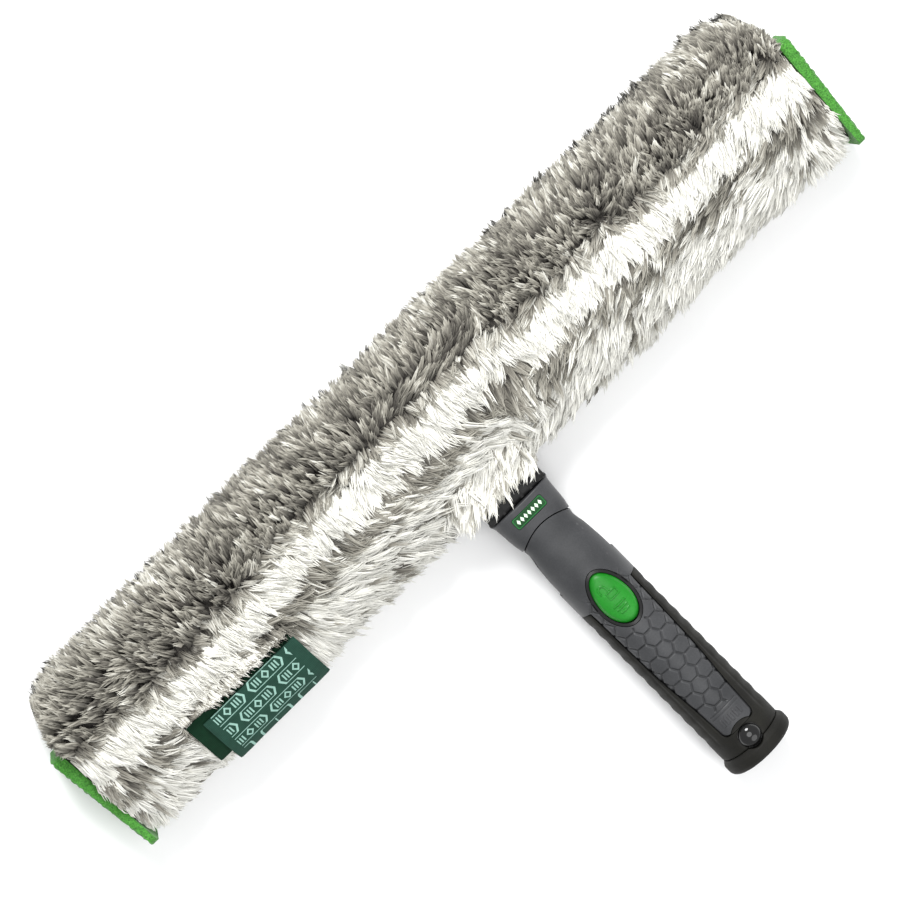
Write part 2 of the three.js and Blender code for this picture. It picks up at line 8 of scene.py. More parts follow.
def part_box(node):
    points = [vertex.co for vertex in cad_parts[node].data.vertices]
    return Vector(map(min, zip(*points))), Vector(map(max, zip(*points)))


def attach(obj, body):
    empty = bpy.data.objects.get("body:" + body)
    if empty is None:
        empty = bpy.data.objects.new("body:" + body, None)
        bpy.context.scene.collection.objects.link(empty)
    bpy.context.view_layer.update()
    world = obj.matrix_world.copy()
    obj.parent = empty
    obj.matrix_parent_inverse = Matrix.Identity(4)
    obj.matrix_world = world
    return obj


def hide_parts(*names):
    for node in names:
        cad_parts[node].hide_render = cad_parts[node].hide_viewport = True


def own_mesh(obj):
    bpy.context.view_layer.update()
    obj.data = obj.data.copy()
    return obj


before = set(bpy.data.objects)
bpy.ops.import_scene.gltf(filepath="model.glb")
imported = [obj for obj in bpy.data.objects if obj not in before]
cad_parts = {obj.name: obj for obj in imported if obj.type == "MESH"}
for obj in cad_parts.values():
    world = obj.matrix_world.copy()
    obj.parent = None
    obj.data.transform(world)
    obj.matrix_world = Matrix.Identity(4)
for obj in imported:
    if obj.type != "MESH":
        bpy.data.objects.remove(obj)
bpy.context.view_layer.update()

# A window washer applicator: a T-bar in a striped microfibre sleeve, on a swivel neck and a
# two-component handle. Local sizes are in millimetres: x across the handle, s from the handle's
# end towards the sleeve's working edge, z up from the handle's axis.
MM = 0.001
RING_LOW, RING_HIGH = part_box("end_ring")
HANDLE_END = RING_LOW.y
AXIS_Z = (RING_LOW.z + RING_HIGH.z) / 2
FLOOR_Z = -AXIS_Z / MM  # the floor, in local millimetres
GAP = 0.3
SEED = 7


def local(node):
    """A CAD node's box in local millimetres, as (low, high)."""
    return [
        Vector((p.x, p.y - HANDLE_END, p.z - AXIS_Z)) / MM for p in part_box(node)
    ]


FLANGE_R = local("end_ring")[1].x
GRIP_R = local("grip_overmould")[1].x
GRIP_START = local("grip_overmould")[0].y
GRIP_END = local("grip_overmould")[1].y
CORE_R = 13.6
CORE_START = local("handle_shell_top")[0].y
PANEL_R = 15.9
SOCKET_R = 9.0
BALL_R = 5.3
BALL_RIM = local("pole_lock_button")[1].x
BALL_TOP = local("pole_lock_button")[1].z
BALL_PIT = BALL_RIM + GAP
BALL_S = (local("pole_lock_button")[0].y + local("pole_lock_button")[1].y) / 2
BUTTON_LOW, BUTTON_HIGH = local("lock_button")
SEAL_LOW, SEAL_HIGH = local("button_seal")
EGG_S = 100.3
EGG_HALF = (BUTTON_HIGH.x, 13.8)
SEAL_WIDTH = 1.65
SWIVEL_S = (local("pivot_pin")[0].y + local("pivot_pin")[1].y) / 2
SEAM_R = 21.7
NECK_END = local("neck_cover_top")[1].y
SLEEVE_LOW, SLEEVE_HIGH = local("sleeve")

# Outline of handle front and neck: s, half width, half height, roundness exponent
FORM = np.array(
    [
        (101.3, 16.25, 16.25, 2.0),
        (112, 16.25, 16.1, 2.0),
        (120, 16.1, 14.9, 2.1),
        (124, 15.8, 14.0, 2.2),
        (130, 15.2, 12.8, 2.35),
        (134, 14.4, 12.2, 2.45),
        (137.6, 14.05, 12.0, 2.5),
        (141, 14.5, 12.0, 2.55),
        (145.6, 15.3, 12.1, 2.6),
        (152, 15.8, 12.3, 2.6),
        (156, 16.2, 12.5, 2.6),
        (NECK_END - 1.6, 16.6, 12.7, 2.6),
        (NECK_END, 17.4, 13.0, 2.6),
    ]
)
# Half width of the grey thumb panel along the handle
PANEL_SIDE = np.array([(21.1, 8.4), (35, 9.1), (61, 11.15), (101, 12.25)])
PANEL_BOTTOM = 18.7
PANEL_CORNER = 2.4
NOTCH_R = 8.5


# ---------------------------------------------------------------- mesh helpers


def smoothstep(low, high, value):
    t = np.clip((np.asarray(value, float) - low) / (high - low), 0, 1)
    return t * t * (3 - 2 * t)


def smooth_curve(table, at):
    """Columns of table (first column the position) at the given places, by monotone cubic steps."""
    x, y = table[:, 0], table[:, 1:]
    step = np.diff(x)[:, None]
    slope = np.diff(y, axis=0) / step
    tangent = np.zeros_like(y)
    same = slope[:-1] * slope[1:] > 0
    mean = 2 * slope[:-1] * slope[1:] / np.where(same, slope[:-1] + slope[1:], 1)
    tangent[1:-1] = np.where(same, mean, 0)
    tangent[0], tangent[-1] = slope[0], slope[-1]
    at = np.clip(np.atleast_1d(at).astype(float), x[0], x[-1])
    i = np.clip(np.searchsorted(x, at, side="right") - 1, 0, len(x) - 2)
    t = ((at - x[i]) / (x[i + 1] - x[i]))[:, None]
    h = step[i]
    return (
        (2 * t**3 - 3 * t**2 + 1) * y[i]
        + (t**3 - 2 * t**2 + t) * h * tangent[i]
        + (3 * t**2 - 2 * t**3) * y[i + 1]
        + (t**3 - t**2) * h * tangent[i + 1]
    )


def to_frame(points):
    """Local millimetres to the row frame's metres."""
    p = np.asarray(points, float).reshape(-1, 3) * MM
    return p + np.array([0, HANDLE_END, AXIS_Z])


def new_object(name, points, faces):
    mesh = bpy.data.meshes.new(name)
    mesh.from_pydata(to_frame(points).tolist(), [], faces)
    obj = bpy.data.objects.new(name, mesh)
    bpy.context.scene.collection.objects.link(obj)
    return obj


def face_out(obj):
    """Turns the faces out, by the sign of the closed mesh's volume."""
    mesh = obj.data
    mesh.calc_loop_triangles()
    tri = np.array([t.vertices for t in mesh.loop_triangles])
    co = np.array([v.co for v in mesh.vertices])
    a, b, c = co[tri[:, 0]], co[tri[:, 1]], co[tri[:, 2]]
    if (a * np.cross(b, c)).sum() < 0:
        mesh.flip_normals()
    return obj


def from_rings(name, rings):
    """A closed body through rings of equally many points, with flat ends."""
    m, n = rings.shape[:2]
    faces = [
        (r * n + i, r * n + (i + 1) % n, (r + 1) * n + (i + 1) % n, (r + 1) * n + i)
        for r in range(m - 1)
        for i in range(n)
    ]
    faces.append(tuple(range(n))[::-1])
    faces.append(tuple((m - 1) * n + i for i in range(n)))
    return face_out(new_object(name, rings, faces))


def box(x, s, z):
    corners = [(x[0], s[0]), (x[1], s[0]), (x[1], s[1]), (x[0], s[1])]
    return from_rings("tool", np.array([[(a, b, c) for a, b in corners] for c in z]))


def circle(count):
    angle = np.arange(count) * 2 * math.pi / count
    return np.cos(angle), np.sin(angle)


def rod_s(radius, s, sides=96):
    c, d = circle(sides)
    rings = [np.stack([radius * c, np.full(sides, at), radius * d], 1) for at in s]
    return from_rings("tool", np.array(rings))


def rod_z(radius, x, s, z, sides=48):
    c, d = circle(sides)
    rings = [np.stack([x + radius * c, s + radius * d, np.full(sides, at)], 1) for at in z]
    return from_rings("tool", np.array(rings))


def prism(outline, z):
    rings = [np.column_stack([outline, np.full(len(outline), at)]) for at in z]
    return from_rings("tool", np.array(rings))


def turned(name, profile, sides, about_s=None, place=(0, 0)):
    """A body turned about the handle's axis, or about an upright axis through place. The profile's
    points are (radius, position); it closes on itself, or starts and ends with radius 0."""
    profile = np.array(profile, float)
    c, d = circle(sides)
    points, start = [], []
    for radius, at in profile:
        start.append(len(points))
        count = 1 if radius == 0 else sides
        for i in range(count):
            a, b = radius * c[i], radius * d[i]
            points.append((a, at, b) if about_s else (place[0] + a, place[1] + b, at))
    closed = profile[0][0] != 0
    faces = []
    for k in range(len(profile) - (0 if closed else 1)):
        nxt = (k + 1) % len(profile)
        for i in range(sides):
            j = (i + 1) % sides
            first = [start[k] + i, start[k] + j] if profile[k][0] else [start[k]]
            last = [start[nxt] + j, start[nxt] + i] if profile[nxt][0] else [start[nxt]]
            faces.append(tuple(first + last))
    return face_out(new_object(name, points, faces))


def carve(obj, *tools, operation="DIFFERENCE"):
    """Cuts the tools from obj, or joins or keeps what they share, and removes them."""
    for tool in tools:
        step = obj.modifiers.new("carve", "BOOLEAN")
        step.operation = operation
        step.solver = "MANIFOLD"
        step.object = tool
        graph = bpy.context.evaluated_depsgraph_get()
        made = bpy.data.meshes.new_from_object(obj.evaluated_get(graph))
        obj.modifiers.remove(step)
        obj.data = made
        bpy.data.objects.remove(tool)
    return obj


def finish_piece(obj, material, body, replaces=(), angle=32):
    obj.data.materials.clear()
    obj.data.materials.append(material)
    obj.data.polygons.foreach_set("use_smooth", [True] * len(obj.data.polygons))
    obj.data.set_sharp_from_angle(angle=math.radians(angle))
    obj.data.update()
    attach(obj, body)
    if replaces:
        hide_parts(*replaces)
    return obj


# ---------------------------------------------------------------- materials


class Shader:
    """A Principled material with short ways to wire its nodes."""

    def __init__(self, name, roughness=0.5, metallic=0.0, specular=0.5, **values):
        self.material = bpy.data.materials.new(name)
        self.material.use_nodes = True
        self.nodes = self.material.node_tree.nodes
        self.links = self.material.node_tree.links
        self.bsdf = self.nodes["Principled BSDF"]
        self.bsdf.inputs["Roughness"].default_value = roughness
        self.bsdf.inputs["Metallic"].default_value = metallic
        self.bsdf.inputs["Specular IOR Level"].default_value = specular
        for key, value in values.items():
            self.bsdf.inputs[key.replace("_", " ")].default_value = value
        self.coord = self.node("ShaderNodeTexCoord").outputs["Object"]

    def node(self, kind, **settings):
        made = self.nodes.new(kind)
        for key, value in settings.items():
            setattr(made, key, value)
        return made

    def mapped(self, scale=(1, 1, 1), rotation=(0, 0, 0), source=None):
        mapping = self.node("ShaderNodeMapping")
        mapping.inputs["Scale"].default_value = scale
        mapping.inputs["Rotation"].default_value = rotation
        self.links.new(source or self.coord, mapping.inputs["Vector"])
        return mapping.outputs["Vector"]

    def noise(self, scale, detail=3.0, vector=None, roughness=0.5):
        made = self.node("ShaderNodeTexNoise")
        made.inputs["Scale"].default_value = scale
        made.inputs["Detail"].default_value = detail
        made.inputs["Roughness"].default_value = roughness
        self.links.new(vector or self.coord, made.inputs["Vector"])
        return made.outputs["Fac"]

    def voronoi(self, scale, vector=None, feature="F1", output="Distance"):
        made = self.node("ShaderNodeTexVoronoi", feature=feature)
        made.inputs["Scale"].default_value = scale
        self.links.new(vector or self.coord, made.inputs["Vector"])
        return made.outputs[output]

    def wave(self, scale, direction="X", vector=None, profile="SIN"):
        made = self.node("ShaderNodeTexWave", bands_direction=direction, wave_profile=profile)
        made.inputs["Scale"].default_value = scale
        self.links.new(vector or self.coord, made.inputs["Vector"])
        return made.outputs["Fac"]

    def math(self, operation, a, b=0.5):
        made = self.node("ShaderNodeMath", operation=operation)
        for socket, value in zip(made.inputs, (a, b)):
            if isinstance(value, (int, float)):
                socket.default_value = value
            else:
                self.links.new(value, socket)
        return made.outputs[0]

    def ramp(self, value, stops, interpolation="LINEAR"):
        made = self.node("ShaderNodeValToRGB")
        made.color_ramp.interpolation = interpolation
        elements = made.color_ramp.elements
        while len(elements) < len(stops):
            elements.new(0.5)
        for element, (position, colour) in zip(elements, stops):
            element.position = position
            element.color = (*colour, 1) if hasattr(colour, "__len__") else (colour,) * 3 + (1,)
        self.links.new(value, made.inputs["Fac"])
        return made.outputs["Color"]

    def mix(self, fac, a, b, blend="MIX"):
        made = self.node("ShaderNodeMix", data_type="RGBA", blend_type=blend)
        for socket, value in ((made.inputs[0], fac), (made.inputs[6], a), (made.inputs[7], b)):
            if isinstance(value, (int, float)):
                socket.default_value = value
            elif isinstance(value, tuple):
                socket.default_value = (*value, 1)
            else:
                self.links.new(value, socket)
        return made.outputs[2]

    def colour(self, socket):
        self.links.new(socket, self.bsdf.inputs["Base Color"])

    def roughness(self, value, low, high):
        made = self.node("ShaderNodeMapRange")
        made.inputs["To Min"].default_value = low
        made.inputs["To Max"].default_value = high
        self.links.new(value, made.inputs["Value"])
        self.links.new(made.outputs[0], self.bsdf.inputs["Roughness"])

    def bump(self, height, strength, distance):
        made = self.node("ShaderNodeBump")
        made.inputs["Strength"].default_value = strength
        made.inputs["Distance"].default_value = distance
        before = self.bsdf.inputs["Normal"]
        if before.is_linked:
            self.links.new(before.links[0].from_socket, made.inputs["Normal"])
        self.links.new(height, made.inputs["Height"])
        self.links.new(made.outputs[0], before)


def edge_wear(shader, amount):
    """A mask of convex edges, where handling polishes and lightens the plastic."""
    geometry = shader.node("ShaderNodeNewGeometry")
    sharp = shader.ramp(geometry.outputs["Pointiness"], [(0.52, 0.0), (0.60, 1.0)])
    patches = shader.ramp(shader.noise(220, 4), [(0.4, 0.0), (0.65, 1.0)])
    return shader.math("MULTIPLY", shader.math("MULTIPLY", sharp, patches), amount)


def painted_groove_shade(shader):
    """A mask of grooves and inner corners, where the plastic is darkened as painted shade."""
    geometry = shader.node("ShaderNodeNewGeometry")
    return shader.ramp(geometry.outputs["Pointiness"], [(0.43, 0.85), (0.492, 0.0)])


def moulded_plastic(name, dark, light, roughness=(0.36, 0.5), grain=0.05, wear=0.35, specular=0.45):
    """Injection-moulded plastic: soft flow shade, spark-eroded grain, painted shade in its grooves and faint scuffs.
    """
    shader = Shader(name, roughness=roughness[0], specular=specular)
    flow = shader.noise(45, 4)
    base = shader.ramp(flow, [(0.3, dark), (0.7, light)])
    speck = shader.ramp(shader.noise(1400, 2), [(0.35, 0.86), (0.65, 1.0)])
    base = shader.mix(1.0, base, speck, "MULTIPLY")
    # painted shade: grooves and inner corners darkened towards a third of the dark tone
    base = shader.mix(painted_groove_shade(shader), base, tuple(c * 0.3 for c in dark))
    pale = tuple(min(1.0, c * 1.9 + 0.02) for c in light)
    shader.colour(shader.mix(edge_wear(shader, wear), base, pale))
    shader.roughness(shader.noise(160, 5), *roughness)
    shader.bump(shader.noise(2600, 2), grain, 0.0002)
    scuffs = shader.noise(700, 2, shader.mapped((1, 0.08, 1), (0, 0, 0.5)))
    shader.bump(scuffs, grain * 0.6, 0.0001)
    return shader.material


def soft_rubber(name, dark, light):
    """Soft overmould: matt, warm black, with a fine satin texture and a dusty bloom."""
    shader = Shader(name, roughness=0.66, specular=0.24)
    dust = shader.ramp(shader.noise(85, 6), [(0.35, dark), (0.75, light)])
    speck = shader.ramp(shader.noise(2000, 2), [(0.4, 0.75), (0.6, 1.0)])
    shader.colour(shader.mix(1.0, dust, speck, "MULTIPLY"))
    shader.roughness(shader.noise(260, 4), 0.56, 0.78)
    shader.bump(shader.noise(1800, 3), 0.12, 0.0003)
    return shader.material


def metal(name, colour, roughness=(0.25, 0.42), stretch=(1, 1, 40)):
    shader = Shader(name, roughness=roughness[0], metallic=1.0)
    lines = shader.noise(900, 3, shader.mapped(stretch))
    dark = tuple(c * 0.78 for c in colour)
    shader.colour(shader.ramp(lines, [(0.3, dark), (0.7, colour)]))
    shader.roughness(lines, *roughness)
    shader.bump(lines, 0.06, 0.0001)
    return shader.material


def pile_fibre(name):
    """Fibre locks. Across the map runs the yarn's shade, up the map the way from root to tip; the darker roots are
    partly the yarn's own colour, partly painted shade deep in the pile.
    """
    shader = Shader(name, roughness=0.8, specular=0.2, Sheen_Weight=0.08, Sheen_Roughness=0.5)
    uv = shader.node("ShaderNodeUVMap", uv_map="OFBake").outputs["UV"]
    parts = shader.node("ShaderNodeSeparateXYZ")
    shader.links.new(uv, parts.inputs["Vector"])
    shade, along = parts.outputs["X"], parts.outputs["Y"]
    # roots far darker than tips: partly the yarn's own colour, partly painted shade deep in the pile
    root = shader.ramp(
        shade,
        [
            (0.0, (0.010, 0.009, 0.008)),
            (0.35, (0.034, 0.031, 0.027)),
            (0.6, (0.22, 0.205, 0.175)),
            (0.8, (0.66, 0.655, 0.60)),
            (1.0, (0.82, 0.815, 0.77)),
        ],
    )
    tip = shader.ramp(
        shade,
        [
            (0.0, (0.13, 0.12, 0.105)),
            (0.35, (0.36, 0.345, 0.295)),
            (0.6, (0.55, 0.535, 0.47)),
            (0.8, (0.75, 0.745, 0.69)),
            (1.0, (0.85, 0.845, 0.80)),
        ],
    )
    rise = shader.ramp(along, [(0.2, 0.0), (0.68, 0.4), (0.95, 1.0)])
    streaks = shader.noise(60, 3, shader.mapped((9, 1.2, 1), source=uv))
    tint = shader.ramp(streaks, [(0.3, (0.80, 0.79, 0.77)), (0.7, (1.0, 1.0, 1.0))])
    shader.colour(shader.mix(1.0, shader.mix(rise, root, tip), tint, "MULTIPLY"))
    return shader.material


def backing_knit(name):
    """The knitted ground under the pile: fine loops, darker than the fibre tips, and near black under the working
    edge's pile as painted shade in the gaps between its locks.
    """
    shader = Shader(name, roughness=0.95, specular=0.15, Sheen_Weight=0.2)
    tufts = shader.noise(420, 4)
    # the near-black ground under the working edge is painted shade for the gaps between its locks
    dark = shader.ramp(tufts, [(0.35, (0.020, 0.018, 0.016)), (0.7, (0.085, 0.078, 0.068))])
    pale = shader.ramp(tufts, [(0.35, (0.30, 0.28, 0.24)), (0.7, (0.62, 0.60, 0.53))])
    parts = shader.node("ShaderNodeSeparateXYZ")
    shader.links.new(shader.coord, parts.inputs["Vector"])
    edge = HANDLE_END + 216 * MM
    place = shader.math("ADD", parts.outputs["Y"], shader.math("MULTIPLY", shader.noise(18, 2), 0.008))
    side = shader.math("MULTIPLY", shader.math("SUBTRACT", place, edge), 1 / (8 * MM))
    shader.colour(shader.mix(shader.ramp(side, [(0.2, 0.0), (0.9, 1.0)]), pale, dark))
    loops = shader.math("MULTIPLY", shader.wave(420, "X"), shader.wave(420, "Y"))
    shader.bump(loops, 0.6, 0.0006)
    shader.bump(tufts, 0.8, 0.0012)
    return shader.material


def scrub_pad(name):
    """Green nonwoven scrub fibre: crossing strands, pores darkened as painted shade, and worn pale patches."""
    shader = Shader(name, roughness=0.85, specular=0.3, Sheen_Weight=0.15)
    web = shader.voronoi(900, feature="DISTANCE_TO_EDGE")
    fibres = shader.noise(1300, 5, roughness=0.7)
    body = shader.ramp(fibres, [(0.3, (0.024, 0.12, 0.012)), (0.55, (0.070, 0.30, 0.036)),
                                (0.8, (0.16, 0.44, 0.09))])
    # painted shade: darker away from the strands, inside the pores
    pore_shade = shader.ramp(web, [(0.0, 1.0), (0.35, 0.55)])
    shader.colour(shader.mix(1.0, body, pore_shade, "MULTIPLY"))
    shader.bump(web, 0.7, 0.0006)
    shader.bump(fibres, 0.8, 0.0005)
    return shader.material


def woven_tape(name, ground, figure):
    """Woven tape: a fine rib in the ground and a repeat of linked lozenges in pale weft."""
    shader = Shader(name, roughness=0.8, specular=0.12, Sheen_Weight=0.03)
    tilt = shader.mapped((1, 1, 1), (0, 0, 0))
    warp = shader.wave(650, "X", tilt)
    weft = shader.wave(520, "Y", tilt)
    weave = shader.math("MULTIPLY", warp, weft)
    cloth = shader.mix(
        shader.ramp(weave, [(0.1, 0.0), (0.7, 1.0)]),
        tuple(c * 0.62 for c in ground),
        tuple(c * 1.25 for c in ground),
    )
    if figure:
        cloth = shader.mix(tape_pattern(shader), cloth, figure)
    slub = shader.ramp(shader.noise(300, 3), [(0.3, 0.82), (0.7, 1.0)])
    shader.colour(shader.mix(1.0, cloth, slub, "MULTIPLY"))
    shader.bump(weave, 0.55, 0.0002)
    return shader.material


def tape_pattern(shader):
    """Rows of outlined long hexagons with bars and a lozenge in them, a plain geometric figure."""
    uv = shader.node("ShaderNodeUVMap", uv_map="tape").outputs["UV"]
    parts = shader.node("ShaderNodeSeparateXYZ")
    shader.links.new(uv, parts.inputs["Vector"])
    across, along = parts.outputs["X"], parts.outputs["Y"]
    odd = shader.math("MULTIPLY", shader.math("FLOOR", along, 0), 0.5)
    a = repeat(shader, shader.math("ADD", across, odd))
    b = repeat(shader, along)
    slant = shader.math("ADD", shader.math("MULTIPLY", a, 1 / 0.46), shader.math("MULTIPLY", b, 0.45))
    shape = shader.math("MAXIMUM", slant, shader.math("MULTIPLY", b, 1 / 0.40))
    outline = band(shader, shape, 0.93, 0.055)
    bars = band(shader, repeat(shader, shader.math("MULTIPLY", a, 15)), 0.0, 0.24)
    field = shader.math("LESS_THAN", b, 0.22)
    field = shader.math("MULTIPLY", field, shader.math("LESS_THAN", a, 0.34))
    field = shader.math("MULTIPLY", field, shader.math("GREATER_THAN", a, 0.13))
    gem = shader.math("ADD", shader.math("MULTIPLY", a, 1 / 0.1), shader.math("MULTIPLY", b, 1 / 0.33))
    marks = shader.math("MAXIMUM", outline, shader.math("MULTIPLY", bars, field))
    marks = shader.math("MAXIMUM", marks, band(shader, gem, 0.72, 0.22))
    plain = shader.math("GREATER_THAN", across, 4.4 / 23)
    plain = shader.math("MULTIPLY", plain, shader.math("LESS_THAN", across, (54.8 - 6) / 23))
    return shader.math("MULTIPLY", marks, plain)


def repeat(shader, value):
    """Distance from the middle of each whole step of a value, 0 to 0.5."""
    part = shader.math("SUBTRACT", shader.math("FRACT", value, 0), 0.5)
    return shader.math("ABSOLUTE", part, 0)


def band(shader, value, middle, half):
    return shader.math("LESS_THAN", shader.math("ABSOLUTE", shader.math("SUBTRACT", value, middle), 0), half)


def floor_material():
    shader = Shader("studio_floor", roughness=0.9, specular=0.1)
    shader.colour(shader.ramp(shader.noise(6, 2), [(0.2, (0.90, 0.90, 0.90)), (0.8, (0.92, 0.92, 0.92))]))
    return shader.material


GREY = moulded_plastic("grey_plastic", (0.032, 0.033, 0.035), (0.056, 0.057, 0.060), specular=0.26)
RUBBER = soft_rubber("black_overmould", (0.0052, 0.0050, 0.0036), (0.0115, 0.0110, 0.0080))
SEAL = moulded_plastic("seal_black", (0.004, 0.004, 0.004), (0.008, 0.008, 0.008), (0.22, 0.36), 0.03, 0.1)
BLACK = moulded_plastic("black_plastic", (0.0035, 0.0035, 0.0035), (0.007, 0.007, 0.007), (0.4, 0.55), specular=0.2)
GLOSS = moulded_plastic("gloss_black", (0.006, 0.006, 0.006), (0.010, 0.010, 0.010), (0.05, 0.10), 0.01, 0.1)
GREEN = moulded_plastic("green_plastic", (0.006, 0.165, 0.008), (0.010, 0.220, 0.013), (0.36, 0.48), 0.05, 0.25, 0.3)
NYLON = moulded_plastic("natural_nylon", (0.60, 0.57, 0.49), (0.70, 0.67, 0.60))
STEEL = metal("zinc_steel", (0.56, 0.57, 0.58))
ALUMINIUM = metal("bar_aluminium", (0.80, 0.81, 0.83), (0.3, 0.5), (0.03, 1, 1))
PILE = pile_fibre("pile_fibre")
KNIT = backing_knit("backing_knit")
PAD = scrub_pad("scrub_pad")
LABEL = woven_tape("label_tape", (0.021, 0.070, 0.048), (0.30, 0.50, 0.43))
STRAP = woven_tape("strap_tape", (0.003, 0.030, 0.012), None)

CAD_FINISH = {
    BLACK: ["socket_insert", "swivel_hub", "t_bar_yoke", "end_cap_left", "end_cap_right"],
    NYLON: ["swivel_washer_top", "swivel_washer_bottom", "lock_pawl"],
    ALUMINIUM: ["t_bar"],
    STEEL: ["pivot_pin"]
    + [f"{kind}_screw_{side}" for kind in ("handle", "neck", "yoke") for side in ("left", "right")],
}
for material, names in CAD_FINISH.items():
    for node_name in names:
        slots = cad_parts[node_name].material_slots
        for slot in slots:
            slot.link = "OBJECT"
            slot.material = material


# ---------------------------------------------------------------- camera, light, floor


def build_camera():
    """Looks almost straight down, tipped 9 degrees towards the sleeve, with the T turned 45
    degrees in the frame."""
    tip, roll = math.radians(9), math.radians(44.73)
    lens, sensor, width = 0.150, 0.036, 0.3935
    middle = Vector((-0.0055, HANDLE_END + 0.1978, AXIS_Z + 0.012))
    towards = Vector((0, math.sin(tip), math.cos(tip)))
    along_x, along_y = Vector((1, 0, 0)), Vector((0, math.cos(tip), -math.sin(tip)))
    right = math.cos(roll) * along_x - math.sin(roll) * along_y
    up = math.sin(roll) * along_x + math.cos(roll) * along_y
    data = bpy.data.cameras.new("camera")
    data.sensor_width = sensor * 1000
    data.lens = lens * 1000
    data.clip_end = 20
    camera = bpy.data.objects.new("camera", data)
    turn = Matrix((right, up, towards)).transposed().to_4x4()
    camera.matrix_world = Matrix.Translation(middle + towards * width * lens / sensor) @ turn
    bpy.context.scene.collection.objects.link(camera)
    bpy.context.scene.camera = camera
    return camera, right, up


def area_light(name, place, target, size, power, colour=(1, 1, 1)):
    data = bpy.data.lights.new(name, "AREA")
    data.shape = "DISK"
    data.size = size
    data.energy = power
    data.color = colour
    lamp = bpy.data.objects.new(name, data)
    lamp.location = place
    lamp.rotation_euler = (Vector(target) - Vector(place)).to_track_quat("-Z", "Y").to_euler()
    bpy.context.scene.collection.objects.link(lamp)


def build_stage():
    camera, right, up = build_camera()
    centre = Vector((0, 0, 0.02))
    overhead = Vector((0, 0, 1))
    area_light("key_light", centre + (up * 0.9 - right * 0.5) * 1.0 + overhead * 1.1, centre, 0.6, 22)
    area_light("fill_light", centre + (right * 0.9 - up * 0.6) * 1.1 + overhead * 1.0, centre, 1.2, 8)
    area_light("top_light", centre + overhead * 1.6, centre, 1.0, 9)
    world = bpy.data.worlds.new("studio")
    world.use_nodes = True
    world.node_tree.nodes["Background"].inputs["Color"].default_value = (0.98, 0.99, 1.0, 1)
    world.node_tree.nodes["Background"].inputs["Strength"].default_value = 0.68
    bpy.context.scene.world = world
    bpy.context.scene.view_settings.view_transform = "Standard"
    mesh = bpy.data.meshes.new("floor")
    half = 3.0
    mesh.from_pydata([(-half, -half, 0), (half, -half, 0), (half, half, 0), (-half, half, 0)], [], [(0, 1, 2, 3)])
    floor = bpy.data.objects.new("floor", mesh)
    floor.location.z = -0.0002
    mesh.materials.append(floor_material())
    bpy.context.scene.collection.objects.link(floor)


build_stage()


# ---------------------------------------------------------------- handle


def panel_edge(s):
    """Half width of the thumb panel, with round corners at its lower end."""
    s = np.atleast_1d(np.asarray(s, float))
    width = smooth_curve(PANEL_SIDE, s)[:, 0]
    drop = np.clip(PANEL_SIDE[0, 0] - s, 0, PANEL_CORNER)
    return width - PANEL_CORNER + np.sqrt(PANEL_CORNER**2 - drop**2)


def panel_outline(grow, count=60):
    """The panel's outline in x and s, grown by a margin, without the notch."""
    s = np.concatenate(
        [
            PANEL_BOTTOM + PANEL_CORNER * (1 - np.cos(np.linspace(0, math.pi / 2, 12))),
            np.linspace(PANEL_BOTTOM + PANEL_CORNER + 1, GRIP_END, count),
        ]
    )
    side = panel_edge(s) + grow
    s = np.where(s < PANEL_BOTTOM + PANEL_CORNER, s - grow * smoothstep(PANEL_BOTTOM + PANEL_CORNER, PANEL_BOTTOM, s), s)
    side, s = np.append(side, side[-1]), np.append(s, GRIP_END + 4)
    right = np.column_stack([side, s])
    left = np.column_stack([-side, s])[::-1]
    return np.concatenate([right, left])


def egg_outline(grow, count=120):
    angle = np.arange(count) * 2 * math.pi / count
    taper = 1 - 0.13 * np.sin(angle)
    x = (EGG_HALF[0] * taper + grow) * np.cos(angle)
    return np.column_stack([x, EGG_S + (EGG_HALF[1] + grow) * np.sin(angle)])


def egg_reach(x, s):
    """How far out a point lies of the button's outline: 1 on it."""
    v = (s - EGG_S) / EGG_HALF[1]
    half = EGG_HALF[0] * (1 - 0.13 * np.clip(v, -1, 1))
    return np.hypot(x / half, v)


def swivel_zone(radius):
    zone = rod_z(radius, 0, SWIVEL_S, (-40, 40), 256)
    return carve(zone, box((-40, 40), (0, SWIVEL_S), (-40.5, 40.5)), operation="UNION")


HEX_ROW = 7.6
HEX_COLUMN = 6.9


def hex_relief(x, s):
    """Depth of the grooves between the panel's hexagons, 0 to 1. Flat sides face along the handle."""
    unit = HEX_ROW * math.sqrt(3) / 2
    u, v = x * unit / HEX_COLUMN, s - 29.3
    column = np.round(u / unit)
    best = np.full(u.shape, 1e9)
    second = np.full(u.shape, 1e9)
    for dc in (-1, 0, 1):
        c = column + dc
        shift = np.where(np.mod(c, 2) == 0, 0.0, HEX_ROW / 2)
        row = np.round((v - shift) / HEX_ROW)
        for dr in (-1, 0, 1):
            d = (u - c * unit) ** 2 + (v - shift - (row + dr) * HEX_ROW) ** 2
            second = np.where(d < best, best, np.minimum(second, d))
            best = np.minimum(best, d)
    edge = (second - best) / (2 * HEX_ROW)
    return 1 - smoothstep(0.16, 0.74, edge)


def panel_relief(x, s):
    """How far the panel's skin lies below its smooth shape, in millimetres."""
    hexes = hex_relief(x, s) * smoothstep(30.6, 31.4, s)
    hexes *= 1 - smoothstep(104, 109, s)
    hexes *= smoothstep(1.2, 1.26, egg_reach(x, s))
    depth = 0.62 * hexes
    for line in (28.3, 29.9):
        depth += 0.3 * np.exp(-(((s - line) / 0.28) ** 2)) * (np.abs(x) < 7.6)
    bars = np.abs(np.mod(x + 1.3, 2.6) - 1.3) < 0.62
    field = bars & (np.abs(x) < 5.6) & (np.abs(s - 24.6) < 1.9)
    return depth - 0.28 * field


def form_height(x, s):
    """Height of the handle front's or neck's upper skin over the split."""
    width, height, power = smooth_curve(FORM, s).T
    inside = np.clip(1 - (np.abs(x) / width) ** power, 0, 1)
    return height * inside ** (1 / power)


